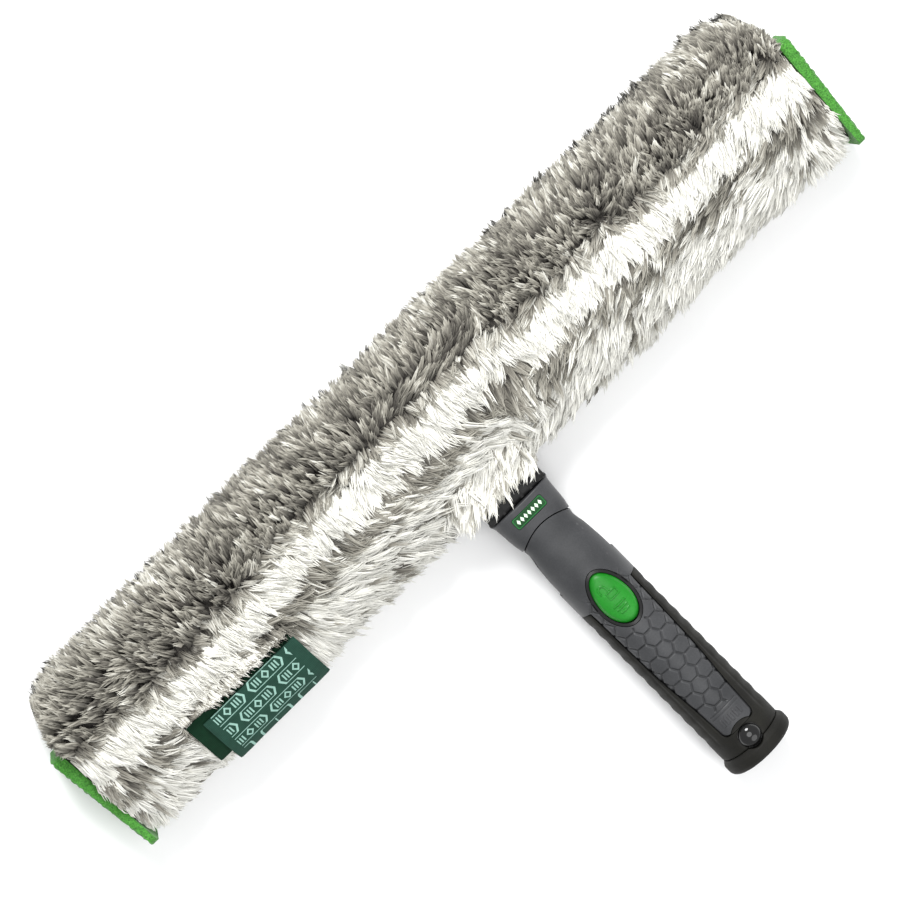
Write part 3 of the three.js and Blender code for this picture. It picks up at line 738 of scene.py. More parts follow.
def form_ring(s, columns, edge):
    """One half ring of the handle front: sides by angle, the panel's columns by x."""
    width, height, power = smooth_curve(FORM, s)[0]
    top = edge * columns
    corner = math.acos(min(1, (edge / width) ** (power / 2)))
    angle = np.linspace(0, corner, 14)[:-1]
    side_x = width * np.cos(angle) ** (2 / power)
    side_z = height * np.sin(angle) ** (2 / power)
    x = np.concatenate([side_x, top, -side_x[::-1]])
    z = np.concatenate([side_z, form_height(top, np.full(len(top), s)), side_z[::-1]])
    return x, z


def core_ring(s, columns, edge, raised):
    """One half ring of the gripped length: a round core, with the panel raised on it."""
    top = edge * columns
    corner = math.acos(edge / CORE_R)
    angle = np.linspace(0, corner, 14)[:-1]
    side_x, side_z = CORE_R * np.cos(angle), CORE_R * np.sin(angle)
    blend = smoothstep(96, 101.3, s)
    radius = PANEL_R + (16.25 - PANEL_R) * blend if raised else CORE_R
    crown = np.sqrt(radius**2 - top**2)
    if raised:
        inset = np.clip(1 - (edge - np.abs(top)) / 0.9, 0, 1)
        crown = crown - 0.55 * inset**2 * (1 - smoothstep(95, 101, s))
    x = np.concatenate([side_x, top, -side_x[::-1]])
    return x, np.concatenate([side_z, crown, side_z[::-1]])


def half_shell(up):
    """A closed half of the handle, before its hollows are cut."""
    columns = np.sin(np.linspace(math.pi / 2, -math.pi / 2, 97)) * 0.12
    columns = columns + np.linspace(1, -1, 97) * 0.88
    raised_from = PANEL_BOTTOM
    plain = np.array([CORE_START, PANEL_BOTTOM - 0.05])
    panel = np.linspace(raised_from, GRIP_END, 280)
    front = np.concatenate([[GRIP_END + 0.25], np.linspace(GRIP_END + 0.5, 148, 110)])
    rings = []
    for s in plain:
        rings.append((s, *core_ring(s, columns, panel_edge(raised_from)[0], False)))
    for s in panel:
        rings.append((s, *core_ring(s, columns, panel_edge(s)[0], up > 0)))
    for s in front:
        rings.append((s, *form_ring(max(s, FORM[0, 0]), columns, PANEL_SIDE[-1, 1])))
    points = []
    for s, x, z in rings:
        sink = panel_relief(x, np.full(len(x), s)) if up > 0 and s >= raised_from else 0
        sink = sink * (np.abs(x) < PANEL_SIDE[-1, 1])
        height = np.maximum(z - sink * z / np.hypot(x, z), GAP / 2)
        points.append(np.column_stack([x - sink * x / np.hypot(x, z), np.full(len(x), s), up * height]))
    return from_rings("handle_half", np.array(points))


def handle_hollows():
    """Cutting bodies for the socket, the swivel's slot, the pawl's guide and the pin."""
    slot = 4.7
    return [
        rod_s(11.5, (0, 66.6)),
        box((-4.5, 4.5), (70, 83), (-9, 9)),
        rod_z(12.4, 0, SWIVEL_S, (-slot, slot), 96),
        box((-40, 40), (SWIVEL_S - 9.6, 160), (-slot, slot)),
        box((-6.3, 6.3), (92.3, SWIVEL_S - 8), (-2.8, 6.2)),
        box((-3.3, 3.3), (86, 112.5), (-8.8, 7)),
        rod_z(3.3, 0, SWIVEL_S, (-9.8, 9.8)),
    ]


SCREW_PLACES = [(-8, 76), (8, 76)]


def build_shells():
    top = half_shell(1)
    carve(top, swivel_zone(SEAM_R), operation="INTERSECT")
    notch = carve(rod_z(NOTCH_R, 0, BALL_S, (CORE_R + 0.05, 20), 96), box((-9, 9), (0, 18.6), (0, 30)))
    carve(
        top,
        *handle_hollows(),
        notch,
        prism(egg_outline(GAP + 0.1), (6, 20)),
        prism(egg_outline(SEAL_WIDTH + GAP), (10.6, 20)),
        rod_z(BALL_PIT, 0, BALL_S, (8, 20)),
        *[rod_z(1.65, x, s, (-1, 7)) for x, s in SCREW_PLACES],
    )
    top.name = top.data.name = "handle_top_shell"
    finish_piece(top, GREY, "handle", ["handle_shell_top"], 40)
    low = half_shell(-1)
    carve(low, swivel_zone(SEAM_R), operation="INTERSECT")
    wells = [rod_z(1.65, x, s, (-9, 1)) for x, s in SCREW_PLACES]
    wells += [rod_z(2.9, x, s, (-20, -7.5)) for x, s in SCREW_PLACES]
    carve(low, *handle_hollows(), *wells, rod_z(5.4, 0, SWIVEL_S, (-20, -9.6)))
    low.name = low.data.name = "handle_lower_shell"
    finish_piece(low, GREY, "handle", ["handle_shell_bottom"], 40)


def grip_relief(angle, s):
    """Radius change of the soft grip: scalloped flanks with a rib along each, round ends."""
    side = np.abs(np.cos(angle))
    flank = smoothstep(0.72, 0.95, side)
    wave = 0.5 - 0.5 * np.cos((s - 9) / 8.0 * 2 * math.pi)
    fade = smoothstep(14, 22, s) * (1 - smoothstep(93, 99, s))
    change = -0.38 * flank * wave * fade
    rib = np.exp(-(((side - 0.80) / 0.035) ** 2)) * (np.sin(angle) > 0)
    change -= 0.28 * rib * fade
    below = smoothstep(-0.2, -0.7, np.sin(angle))
    rows = np.abs(np.mod(s, 5.0) - 2.5)
    change -= 0.4 * below * (1 - smoothstep(0.25, 0.7, rows)) * smoothstep(20, 24, s) * (1 - smoothstep(90, 94, s))
    rim = np.clip(1 - np.minimum(s - GRIP_START, GRIP_END - s) / 0.8, 0, 1)
    return change - 0.5 * rim**2


def build_grip():
    angle = np.linspace(0, 2 * math.pi, 241)[:-1]
    stations = np.concatenate(
        [GRIP_START + np.array([0, 0.15, 0.4, 0.8]), np.linspace(GRIP_START + 1.4, GRIP_END - 1.4, 190),
         GRIP_END - np.array([0.8, 0.4, 0.15, 0])]
    )
    rings = []
    for s in stations:
        radius = GRIP_R + grip_relief(angle, s)
        x = radius * np.cos(angle)
        z = radius * np.sin(angle)
        lip = np.clip(1 - (np.abs(x) - panel_edge(s)[0] - 0.6) / 1.0, 0, 1)
        near = (z > 0) & (s > PANEL_BOTTOM)
        ball = np.clip(1 - (np.hypot(x, s - BALL_S) - BALL_R - GAP) / 1.5, 0, 1) * (z > 0)
        front = np.clip(1 - (PANEL_BOTTOM - s) / 1.1, 0, 1) * (z > 0) * (np.abs(x) < 8.6) * (s <= PANEL_BOTTOM)
        radius = radius - 0.6 * np.where(near, lip, 0) ** 2 - 0.55 * ball**2 - 0.4 * front**2
        rings.append(np.stack([radius * np.cos(angle), np.full(len(angle), s), radius * np.sin(angle)], 1))
    grip = from_rings("grip_cover", np.array(rings))
    window = prism(panel_outline(0.6), (3, 20))
    keep = carve(rod_z(NOTCH_R - 0.35, 0, BALL_S, (2, 21), 96), box((-9, 9), (0, 18.35), (0, 30)))
    carve(window, keep)
    carve(
        grip,
        rod_s(CORE_R + GAP, (0, GRIP_END + 1), 128),
        window,
        rod_z(BALL_PIT, 0, BALL_S, (8, 14.6)),
        rod_z(BALL_R + GAP, 0, BALL_S, (14, 20), 96),
        *[rod_z(3.2, x, s, (-20, -5)) for x, s in SCREW_PLACES],
    )
    finish_piece(grip, RUBBER, "handle", ["grip_overmould"], 38)


def build_end_ring():
    """The end collar: it swells from the grip through a hollow curve, and rounds off at its rim."""
    seat, bore = CORE_R + GAP, SOCKET_R + GAP
    profile = [(bore + 0.5, 0), (bore, 0.5), (bore, 4), (seat, 4), (seat, 8.2), (16.2, 8.2)]
    for at in np.linspace(0.1, 1, 9):
        profile.append((16.25 + (FLANGE_R - 16.25) * smoothstep(0, 1, at), 8.2 - 2.9 * at))
    for turn in np.linspace(0, math.pi / 2, 12):
        profile.append((FLANGE_R - 2.6 + 2.6 * math.cos(turn), 3.0 - 3.0 * math.sin(turn)))
    ring = turned("end_collar", profile, 180, about_s=True)
    carve(ring, rod_z(BALL_PIT, 0, BALL_S, (8, 20)))
    finish_piece(ring, RUBBER, "handle", ["end_ring"], 34)


def egg_rings(levels):
    """Rings of the button's egg outline, from (grow, height) pairs."""
    return [np.column_stack([egg_outline(grow), np.full(120, z)]) for grow, z in levels]


def build_seal():
    """The soft black ring round the button, following the handle's round top."""
    outer = egg_rings([(SEAL_WIDTH, 10.9), (SEAL_WIDTH, 20)])
    ring = from_rings("button_ring", np.array(outer))
    carve(ring, prism(egg_outline(GAP), (10, 21)))
    profile = [(0, 80), (15.6, 80), (15.6, 120), (0, 120)]
    carve(ring, turned("tool", profile, 200, about_s=True), operation="INTERSECT")
    finish_piece(ring, SEAL, "handle", ["button_seal"], 50)


def button_crown(x, s):
    """Height of the green button's skin, with a raised open padlock and three grip bars."""
    crown = 4.9 + 12.0 * np.sqrt(np.clip(1 - (x / 14) ** 2 - ((s - EGG_S) / 30) ** 2, 0, 1))
    reach = egg_reach(x, s)
    crown = crown - 1.5 * np.clip((reach - 0.78) / 0.22, 0, 1) ** 2.2
    arm = np.hypot(x + 1.6, s - (EGG_S + 6.1))
    shackle = (np.abs(arm - 1.75) < 0.38) & (s > EGG_S + 6.1)
    legs = (np.abs(np.abs(x + 1.6) - 1.75) < 0.38) & (s > EGG_S + 4.6 - 1.2 * (x > -1)) & (s <= EGG_S + 6.1)
    body = np.maximum(np.abs(x - 1.0) - 2.5, np.abs(s - (EGG_S + 2.0)) - 1.55)
    frame_line = np.abs(body) < 0.3
    mark = shackle | legs | frame_line
    for k in range(3):
        mark |= (np.abs(s - (EGG_S - 3.4 - 2.0 * k)) < 0.36) & (np.abs(x) < 3.4 - 0.5 * k)
    return crown + 0.34 * mark * (reach < 0.9)


def build_unlock_button():
    reach = np.concatenate([np.linspace(0.02, 0.96, 60), [0.975, 0.99, 1.0]])
    rings = []
    for r in reach:
        outline = egg_outline(0)
        centre = np.array([0, EGG_S])
        ring = centre + (outline - centre) * r
        rings.append(np.column_stack([ring, button_crown(ring[:, 0], ring[:, 1])]))
    rings.append(np.column_stack([egg_outline(0), np.full(120, 9.0)]))
    button = from_rings("unlock_button", np.array(rings))
    wedge = [(10, 94.1), (5.6, 94.1), (-5.4, 105.1), (-5.4, 108.1), (5.6, 97.1), (10, 97.1)]
    sides = np.array([[(x, s, z) for z, s in wedge] for x in (-2.5, 2.5)])
    carve(button, from_rings("tool", sides), rod_z(1.3, 0, 89.6, (2, 10)), operation="UNION")
    finish_piece(button, GREEN, "lock_button", ["lock_button"], 45)


def build_ball_button():
    profile = [(0, 9.3), (2.7, 9.3), (3, 9.6), (3, 13.6), (BALL_RIM, 13.6), (BALL_RIM, 14.3), (BALL_R, 14.3)]
    dome = BALL_TOP - 15.2
    for turn in np.linspace(0, math.pi / 2, 20):
        profile.append((BALL_R * math.cos(turn) if turn < 1.57 else 0, 15.2 + dome * math.sin(turn)))
    ball = turned("pole_release_ball", profile, 80, place=(0, BALL_S))
    finish_piece(ball, GLOSS, "pole_lock_button", ["pole_lock_button"], 40)


def build_spring(name, node):
    """A button's return spring, copied from the CAD node and fixed to the handle. The real spring shortens towards
    its seat as the button goes in.
    """
    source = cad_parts[node]
    spring = bpy.data.objects.new(name, source.data.copy())
    spring.data.transform(source.matrix_world)
    bpy.context.scene.collection.objects.link(spring)
    finish_piece(spring, STEEL, "handle", [node], 60)
    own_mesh(spring)


# ---------------------------------------------------------------- neck


def neck_half(up):
    columns = np.linspace(1, -1, 61)
    stations = np.concatenate([np.linspace(138, NECK_END - 0.6, 44), NECK_END - np.array([0.3, 0.12, 0])])
    rings = []
    for s in stations:
        x, z = form_ring(s, columns, PANEL_SIDE[-1, 1])
        soft = 1 - 0.35 / 12 * np.clip(1 - (NECK_END - s) / 0.6, 0, 1) ** 2
        rings.append(np.column_stack([x * soft, np.full(len(x), s), up * np.maximum(z * soft, GAP / 2)]))
    cover = from_rings("neck_half", np.array(rings))
    pocket = [
        box((-9.3, 9.3), (130, 168.3), (-3.5, 3.5)),
        box((-13.3, 13.3), (146.7, 157.3), (-3.5, 3.5)),
    ]
    return carve(cover, swivel_zone(SEAM_R + 0.6), *pocket)


def rounded_rectangle(x, s, radius, count=9):
    points = []
    for cx, cs, start in (
        (x[1] - radius, s[1] - radius, 0),
        (x[0] + radius, s[1] - radius, 90),
        (x[0] + radius, s[0] + radius, 180),
        (x[1] - radius, s[0] + radius, 270),
    ):
        for turn in np.radians(np.linspace(start, start + 90, count)):
            points.append((cx + radius * math.cos(turn), cs + radius * math.sin(turn)))
    return np.array(points)


def build_neck():
    badge_low, badge_high = local("badge")
    recess = rounded_rectangle(
        (badge_low.x - GAP, badge_high.x + GAP), (badge_low.y - GAP, badge_high.y + GAP), 1.3
    )
    top = neck_half(1)
    screws = [(-9, 152), (9, 152)]
    carve(top, prism(recess, (10.2, 20)), *[rod_z(1.65, x, s, (0, 7.5)) for x, s in screws])
    top.name = top.data.name = "neck_top_cover"
    finish_piece(top, GREY, "head", ["neck_cover_top"], 40)
    low = neck_half(-1)
    wells = [rod_z(1.65, x, s, (-9, 0)) for x, s in screws]
    carve(low, *wells, *[rod_z(2.9, x, s, (-20, -7.5)) for x, s in screws])
    low.name = low.data.name = "neck_lower_cover"
    finish_piece(low, GREY, "head", ["neck_cover_bottom"], 40)


def build_badge():
    """A green plate with a raised rim and a row of plain lozenges."""
    low, high = local("badge")
    middle = (low.y + high.y) / 2
    plate = prism(rounded_rectangle((low.x, high.x), (low.y, high.y), 1.0), (low.z, high.z + 0.25))
    inner = rounded_rectangle((low.x + 0.55, high.x - 0.55), (low.y + 0.55, high.y - 0.55), 0.6)
    carve(plate, prism(inner, (high.z - 0.25, high.z + 2)))
    plate.name = plate.data.name = "badge_plate"
    finish_piece(plate, BADGE, "head", ["badge"], 30)
    points, faces = [], []
    for k in range(7):
        x = (k - 3) * 2.15
        start = len(points)
        wide, tall = 0.85, 1.35
        for z, share in ((high.z - 0.24, 1.0), (high.z + 0.1, 1.0), (high.z + 0.22, 0.75)):
            for dx, ds in ((wide, 0), (0, tall), (-wide, 0), (0, -tall)):
                points.append((x + dx * share, middle + ds * share, z))
        for r in range(2):
            for i in range(4):
                a, b = start + r * 4 + i, start + r * 4 + (i + 1) % 4
                faces.append((a, b, b + 4, a + 4))
        faces.append(tuple(start + i for i in (3, 2, 1, 0)))
        faces.append(tuple(start + 8 + i for i in range(4)))
    marks = new_object("badge_lozenges", points, faces)
    finish_piece(marks, MINT, "head", (), 30)


BADGE = moulded_plastic("badge_green", (0.006, 0.085, 0.016), (0.010, 0.120, 0.024), (0.35, 0.5), 0.03, 0.2, 0.2)
MINT = moulded_plastic("pale_green_plastic", (0.62, 0.82, 0.60), (0.74, 0.92, 0.72))

build_shells()
build_grip()
build_end_ring()
build_seal()
build_unlock_button()
build_ball_button()
build_spring("unlock_spring", "lock_button_spring")
build_spring("ball_spring", "pole_lock_spring")
build_neck()
build_badge()


# ---------------------------------------------------------------- the sleeve's section


YOKE_SIDE = local("t_bar_yoke")[1].x
YOKE_TOP = local("t_bar_yoke")[1].z
YOKE_END = local("t_bar_yoke")[1].y


def sleeve_section(count=720):
    """The sleeve's outer outline in s and z, turning anticlockwise, evenly spaced and smoothed,
    with its tangents and outward normals."""
    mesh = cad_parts["sleeve"].data
    co = np.array([v.co for v in mesh.vertices])
    end = co[np.abs(co[:, 0] - co[:, 0].min()) < 1e-5]
    p = np.column_stack([(end[:, 1] - HANDLE_END) / MM, (end[:, 2] - AXIS_Z) / MM])
    inner = (np.abs(p[:, 1]) < 6.5) & (p[:, 0] > 169) & (p[:, 0] < 221)
    p = np.unique(np.round(p[~inner], 3), axis=0)
    middle = np.array([208.0, 6.0])
    turn = np.arctan2(p[:, 1] - middle[1], p[:, 0] - middle[0])
    p = p[np.argsort(np.mod(turn + math.pi / 2, 2 * math.pi))]
    p = np.vstack([p, p[:1]])
    length = np.concatenate([[0], np.cumsum(np.hypot(*np.diff(p, axis=0).T))])
    at = np.linspace(0, length[-1], count, endpoint=False)
    curve = np.column_stack([np.interp(at, length, p[:, k]) for k in (0, 1)])
    reach = np.arange(-12, 13)
    weight = np.exp(-((reach / 5.0) ** 2))
    weight /= weight.sum()
    curve = sum(w * np.roll(curve, k, axis=0) for w, k in zip(weight, reach))
    tangent = np.roll(curve, -1, axis=0) - np.roll(curve, 1, axis=0)
    tangent /= np.hypot(*tangent.T)[:, None]
    normal = np.column_stack([tangent[:, 1], -tangent[:, 0]])
    return curve, tangent, normal


CURVE, TANGENT, NORMAL = sleeve_section()
TURN = len(CURVE)
PERIMETER = np.hypot(*(np.roll(CURVE, -1, axis=0) - CURVE).T).sum()
HALF = SLEEVE_HIGH.x


def ripple(x, s, scale, seed):
    """Smooth noise from -1 to 1 over the sleeve, from a few seeded waves."""
    rng = np.random.default_rng(seed)
    total = np.zeros(np.broadcast(x, s).shape)
    for k in range(5):
        turn = rng.uniform(0, math.pi)
        rate = rng.uniform(0.6, 1.8) * 2 * math.pi / scale
        total = total + np.sin(rate * (x * math.cos(turn) + s * math.sin(turn)) + rng.uniform(0, 6.3))
    return np.clip(total / 2.6, -1, 1)


def parting(x):
    """Where the pile parts between the working edge and the handle side. It rises where the yoke
    holds the sleeve, and dips on both sides of it."""
    held = smoothstep(-128, -78, x) * smoothstep(52, 32, x)
    dip = np.exp(-(((np.abs(x) - 150) / 34) ** 2))
    wave = 0.9 * ripple(x, 0 * x, 60, 11) + 0.8 * ripple(x, 0 * x, 22, 14)
    return 218.4 + 5.6 * held - 3.2 * dip + wave


# Places where the pile is pressed in and its locks stand away all round: x, s, radius across, radius
# along, strength
DENTS = [(-37, 216, 11, 8, 1.0), (37, 213, 11, 8, 1.0), (-114, 226, 9, 14, 0.8), (112, 225, 9, 14, 0.8),
         (-170, 232, 10, 9, 0.5), (168, 229, 11, 10, 0.6)]


def dented(x, s):
    """How far each place lies in a dent, from 0 to 1, and the sideways push of its locks."""
    depth = np.zeros(np.broadcast(x, s).shape)
    push = np.zeros(depth.shape)
    for at_x, at_s, wide, tall, strength in DENTS:
        away = (x - at_x) / wide
        fall = strength * np.exp(-(away**2) - ((s - at_s) / tall) ** 2)
        depth = depth + fall
        push = push + 1.5 * away * fall
    return depth, np.clip(push, -1, 1)


def combed_patch(x, s):
    """The patch over the yoke where the pile was brushed flat along the sleeve, from 0 to 1."""
    return np.exp(-((((x - 8) / 34) ** 2) ** 2) - (((s - 229 - 0.06 * x) / 7.5) ** 2) ** 2)


PAD_LOW, PAD_HIGH = local("sleeve_end_pad_right")


def end_slant(s):
    """How far the sleeve's ends lean in towards the handle."""
    return 3.0 * np.clip((PAD_HIGH.y - 3 - s) / (PAD_HIGH.y - 3 - PAD_LOW.y), 0, 1)


def lean_ends(points):
    """Leans the ends of the sleeve in, with everything near them."""
    near = smoothstep(HALF - 30, HALF - 2.5, np.abs(points[:, 0]))
    points[:, 0] -= np.sign(points[:, 0]) * end_slant(points[:, 1]) * near
    return points


def end_inset(x, s):
    """How far the sleeve's skin draws in near its ends, most at the working edge."""
    left = HALF - np.abs(x)
    corner = np.clip(1 - left / 26, 0, 1)
    rounding = 19 * (1 - np.sqrt(1 - corner**2)) * smoothstep(226, 250, s)
    return rounding + 2.5 * np.clip(1 - left / 7, 0, 1) ** 2


def ground_depth(x, index):
    """How deep the pile's dense ground lies under the sleeve's outline."""
    s, up = CURVE[index, 0], NORMAL[index, 1]
    depth = 8.5 - 4.0 * smoothstep(-0.3, -0.8, up)
    depth = depth - 1.5 * smoothstep(0.2, 0.6, up) * smoothstep(216, 205, s)
    crease = np.exp(-(((s - parting(x)) / 3.0) ** 2)) * (up > 0.2)
    depth = depth + 0.6 * crease * (0.5 + 0.5 * ripple(x, s, 35, 12))
    depth = depth + 2.6 * dented(x, s)[0] * (up > 0.2)
    depth = depth + 0.8 * ripple(x, s, 120, 15) * (up > -0.2) + end_inset(x, s)
    over_yoke = (np.abs(x) < YOKE_SIDE + 3) & (up > 0.05) & (s < YOKE_END)
    return np.where(over_yoke, np.minimum(depth, np.maximum(CURVE[index, 1] - YOKE_TOP - 1.6, 0.4)), depth)


def build_ground():
    """The dense ground of the pile with its knitted back: a sleeve open round the bar."""
    index = np.arange(0, TURN, 6)
    stations = np.linspace(-HALF + 2.5, HALF - 2.5, 150)
    rings = []
    for x in stations:
        depth = ground_depth(np.full(len(index), x), index)
        depth += 0.8 * ripple(np.full(len(index), x), CURVE[index, 0] + CURVE[index, 1], 14, 13)
        close = np.clip(1 - (HALF - 2.5 - abs(x)) / 3.0, 0, 1)
        depth += 1.5 * close**2
        p = CURVE[index] - NORMAL[index] * depth[:, None]
        ring = np.column_stack([np.full(len(p), x), p[:, 0], np.maximum(p[:, 1], FLOOR_Z + 1.5)])
        rings.append(lean_ends(ring))
    ground = from_rings("pile_ground", np.array(rings))
    carve(
        ground,
        box((-300, 300), (170.2, 219.8), (-6.3, 6.3)),
        box((-YOKE_SIDE - 0.7, YOKE_SIDE + 0.7), (150, YOKE_END + 0.4), (-YOKE_TOP - 0.4, YOKE_TOP + 0.4)),
    )
    finish_piece(ground, KNIT, "head", ["sleeve"], 60)


# ---------------------------------------------------------------- pile locks

# Each zone of pile: where its locks are rooted (s from, s to, beside the parting's own wave), strands
# for each square millimetre, strand length, lean from the normal in degrees, the way it is combed
# (1 towards the handle, -1 towards the working edge), slow and quick sideways wander in degrees, and
# its yarns as shares of dark and mid and the shade of the rest, from 0, black, to 1, white, with the
# shade of the mid ones.
ZONES = {
    "edge": dict(s=(220.5, 270), density=1.6, length=10.9, lean=21, comb=-1,
                 wander=(20, 16), yarn=(0.26, 0.56, 0.64), tone=0.40),
    "parting": dict(s=(217.2, 224.5), density=2.4, length=9.4, lean=60, comb=1,
                    wander=(62, 20), yarn=(0.05, 0.62, 0.72), tone=0.55),
    "white_upper": dict(s=(205.5, 217.2), density=3.4, length=12.5, lean=52, comb=1,
                        wander=(24, 10), yarn=(0.0, 0.0, 0.92), tone=0.9),
    "grey_lower": dict(s=(193.0, 205.5), density=2.9, length=15.5, lean=64, comb=1,
                       wander=(22, 15), yarn=(0.22, 0.58, 0.86), tone=0.53),
    "white_lower": dict(s=(175.0, 193.0), density=3.3, length=15.5, lean=68, comb=1,
                        wander=(24, 13), yarn=(0.0, 0.07, 0.94), tone=0.62),
    "handle_side": dict(s=(150.0, 175.0), density=2.2, length=11.5, lean=62, comb=1,
                        wander=(24, 12), yarn=(0.0, 0.12, 0.9), tone=0.6),
    "underside": dict(s=(150.0, 270.0), density=0.8, length=11.0, lean=74, comb=1,
                      wander=(30, 12), yarn=(0.10, 0.45, 0.88), tone=0.5),
}
STRANDS_A_LOCK = 8
STRAND_LIMIT = 12000  # strands in one piece
LABEL_LOW, LABEL_HIGH = local("closure_label")
STRAP_LOW, STRAP_HIGH = local("closure_strap")
UPPER = np.flatnonzero(NORMAL[:, 1] > 0.05)
SKIN = CURVE[UPPER][np.argsort(CURVE[UPPER, 0])]


def skin_height(s):
    """Height of the sleeve's upper outline."""
    return np.interp(s, SKIN[:, 0], SKIN[:, 1])


def lock_roots(name, zone, rng):
    """Root places of a zone's locks, as x and section index."""
    under = name == "underside"
    area = PERIMETER * 2 * HALF
    count = int(area * zone["density"] / STRANDS_A_LOCK)
    x = rng.uniform(-HALF + 1.5, HALF - 1.5, count)
    place = rng.integers(0, TURN, count)
    s, up = CURVE[place, 0], NORMAL[place, 1]
    wave = (parting(x) - 219.5) * smoothstep(182, 206, s) * smoothstep(236, 226, s)
    shifted = s - wave + 1.0 * rng.normal(0, 1, count) * (not under)
    inside = (shifted >= zone["s"][0]) & (shifted < zone["s"][1])
    inside &= (up < -0.6) if under else (up >= -0.6)
    hole = (np.abs(x) < YOKE_SIDE + 2) & (CURVE[place, 1] < YOKE_TOP + 1.8) & (s < 200) & (up > -0.75)
    keep = inside & ~hole
    return x[keep], place[keep]


def lock_shades(zone, x, s, rng):
    """The yarn shade of each lock, from 0, dark, to 1, white, in patches with ragged borders. In the working edge's
    pile it also carries painted shade: darker towards the parting's crease and in the dents.
    """
    dark, mid, rest = zone["yarn"]
    draw = rng.uniform(0, 1, len(x))
    if 0 < mid < 0.7:
        draw = draw + 0.30 * ripple(x * 0.45, s * 1.8, 17, 21) + 0.16 * ripple(x, s, 45, 22)
    shade = np.where(draw < dark, zone["tone"] - 0.2, np.where(draw < dark + mid, zone["tone"], rest))
    shade = shade + rng.normal(0, 0.05 if zone["comb"] > 0 else 0.09, len(x))
    if zone["comb"] < 0:
        # painted shade: the working edge's locks darken towards the parting's crease, in a band near s 238 and in
        # the dents
        low = smoothstep(253, 240, s) * (0.8 + 0.2 * ripple(x, s, 40, 23))
        shade = shade + 0.05 - 0.12 * low - 0.05 * np.exp(-(((s - 238) / 7) ** 2)) - 0.10 * dented(x, s)[0] - 0.07 * combed_patch(x, s)
        shade = shade + 0.06 * smoothstep(150, 215, np.abs(x))
    return shade


def lock_wander(zone, x, s, rng):
    """Sideways turn of each lock's comb direction, in radians."""
    slow, quick = zone["wander"]
    turn = slow * ripple(x, s * 0.8, 95, 31) + 0.5 * slow * ripple(x, s, 33, 34)
    turn = turn + quick * ripple(x, s, 15, 32) + rng.normal(0, 10, len(x))
    if zone["comb"] > 0:
        inward = 14 + 54 * smoothstep(208, 198, s)
        centre = -28 + 60 * smoothstep(176, 190, s)
        turn = turn - inward * np.tanh((x - centre) / 15) * smoothstep(HALF, HALF - 45, np.abs(x))
    else:
        outward = 46 * smoothstep(110, 200, np.abs(x)) * (1 - 0.6 * smoothstep(200, HALF, np.abs(x)))
        turn = turn + outward * np.sign(x) * smoothstep(252, 232, s)
        patch = combed_patch(x, s)
        turn = turn * (1 - patch) + 72 * patch
    beside = np.maximum(STRAP_LOW.x - x, x - LABEL_HIGH.x)
    turn = turn * (1 - 0.85 * smoothstep(14, 2, beside) * (s < LABEL_HIGH.y + 6))
    turn = turn + 75 * dented(x, s)[1]
    turn = turn + 12 * np.sign(x) * smoothstep(HALF - 14, HALF - 2, np.abs(x))
    return np.radians(np.clip(turn, -85, 85))


def keep_off_tape(points, root, over, rng):
    """Presses the fibres rooted under the strap flat, ends the ones beside it at its edges, and lets
    the ones above it lie over its top edge by up to the given reach."""
    low_x, high_x = STRAP_LOW.x - 0.4, STRAP_HIGH.x + 1.8
    hang = over * smoothstep(-162, -156, points[:, 0]) * rng.uniform(0.45, 1, len(points))
    edge = STRAP_HIGH.y + 0.5
    inside = (points[:, 0] > low_x) & (points[:, 0] < high_x) & (points[:, 1] < edge) & (points[:, 2] > -2)
    beneath = inside & (root[:, 0] > low_x) & (root[:, 0] < high_x) & (root[:, 1] < edge)
    points[beneath, 2] = np.minimum(points[beneath, 2], skin_height(points[beneath, 1]) - 0.5)
    above = inside & ~beneath & (root[:, 1] >= edge)
    points[above, 1] = np.maximum(points[above, 1], (edge - hang)[above])
    points[above, 2] = np.maximum(points[above, 2], skin_height(points[above, 1]) + 3.6)
    left = inside & ~beneath & (root[:, 0] <= low_x)
    points[left, 0] = low_x
    right = inside & ~beneath & (root[:, 0] >= high_x)
    points[right, 0] = high_x
    return points


def clear_of_yoke(points):
    """Keeps fibres above or below the yoke, not in it."""
    near = (np.abs(points[:, 0]) < YOKE_SIDE + 0.8) & (points[:, 1] < YOKE_END + 1)
    height = np.maximum(np.abs(points[:, 2]), YOKE_TOP + 0.9)
    points[:, 2] = np.where(near, np.where(points[:, 2] < 0, -height, height), points[:, 2])
    return points


def clear_of_pads(points, rng):
    """Keeps fibres on the sleeve's side of the end pads, and raggedly short of the ends beyond them."""
    s = points[:, 1]
    beside = (s > PAD_LOW.y - 1) & (s < PAD_HIGH.y + 0.6)
    beside &= (points[:, 2] > PAD_LOW.z - 1) & (points[:, 2] < PAD_HIGH.z + 0.2)
    rounded = 8 * (np.clip(s - PAD_HIGH.y, 0, 30) / 26) ** 2
    ragged = HALF - end_slant(s) - rounded + rng.uniform(-3.2, 2.6, len(points))
    limit = np.where(beside, HALF - 0.5 - end_slant(s), ragged)
    points[:, 0] = np.clip(points[:, 0], -limit, limit)
    return points


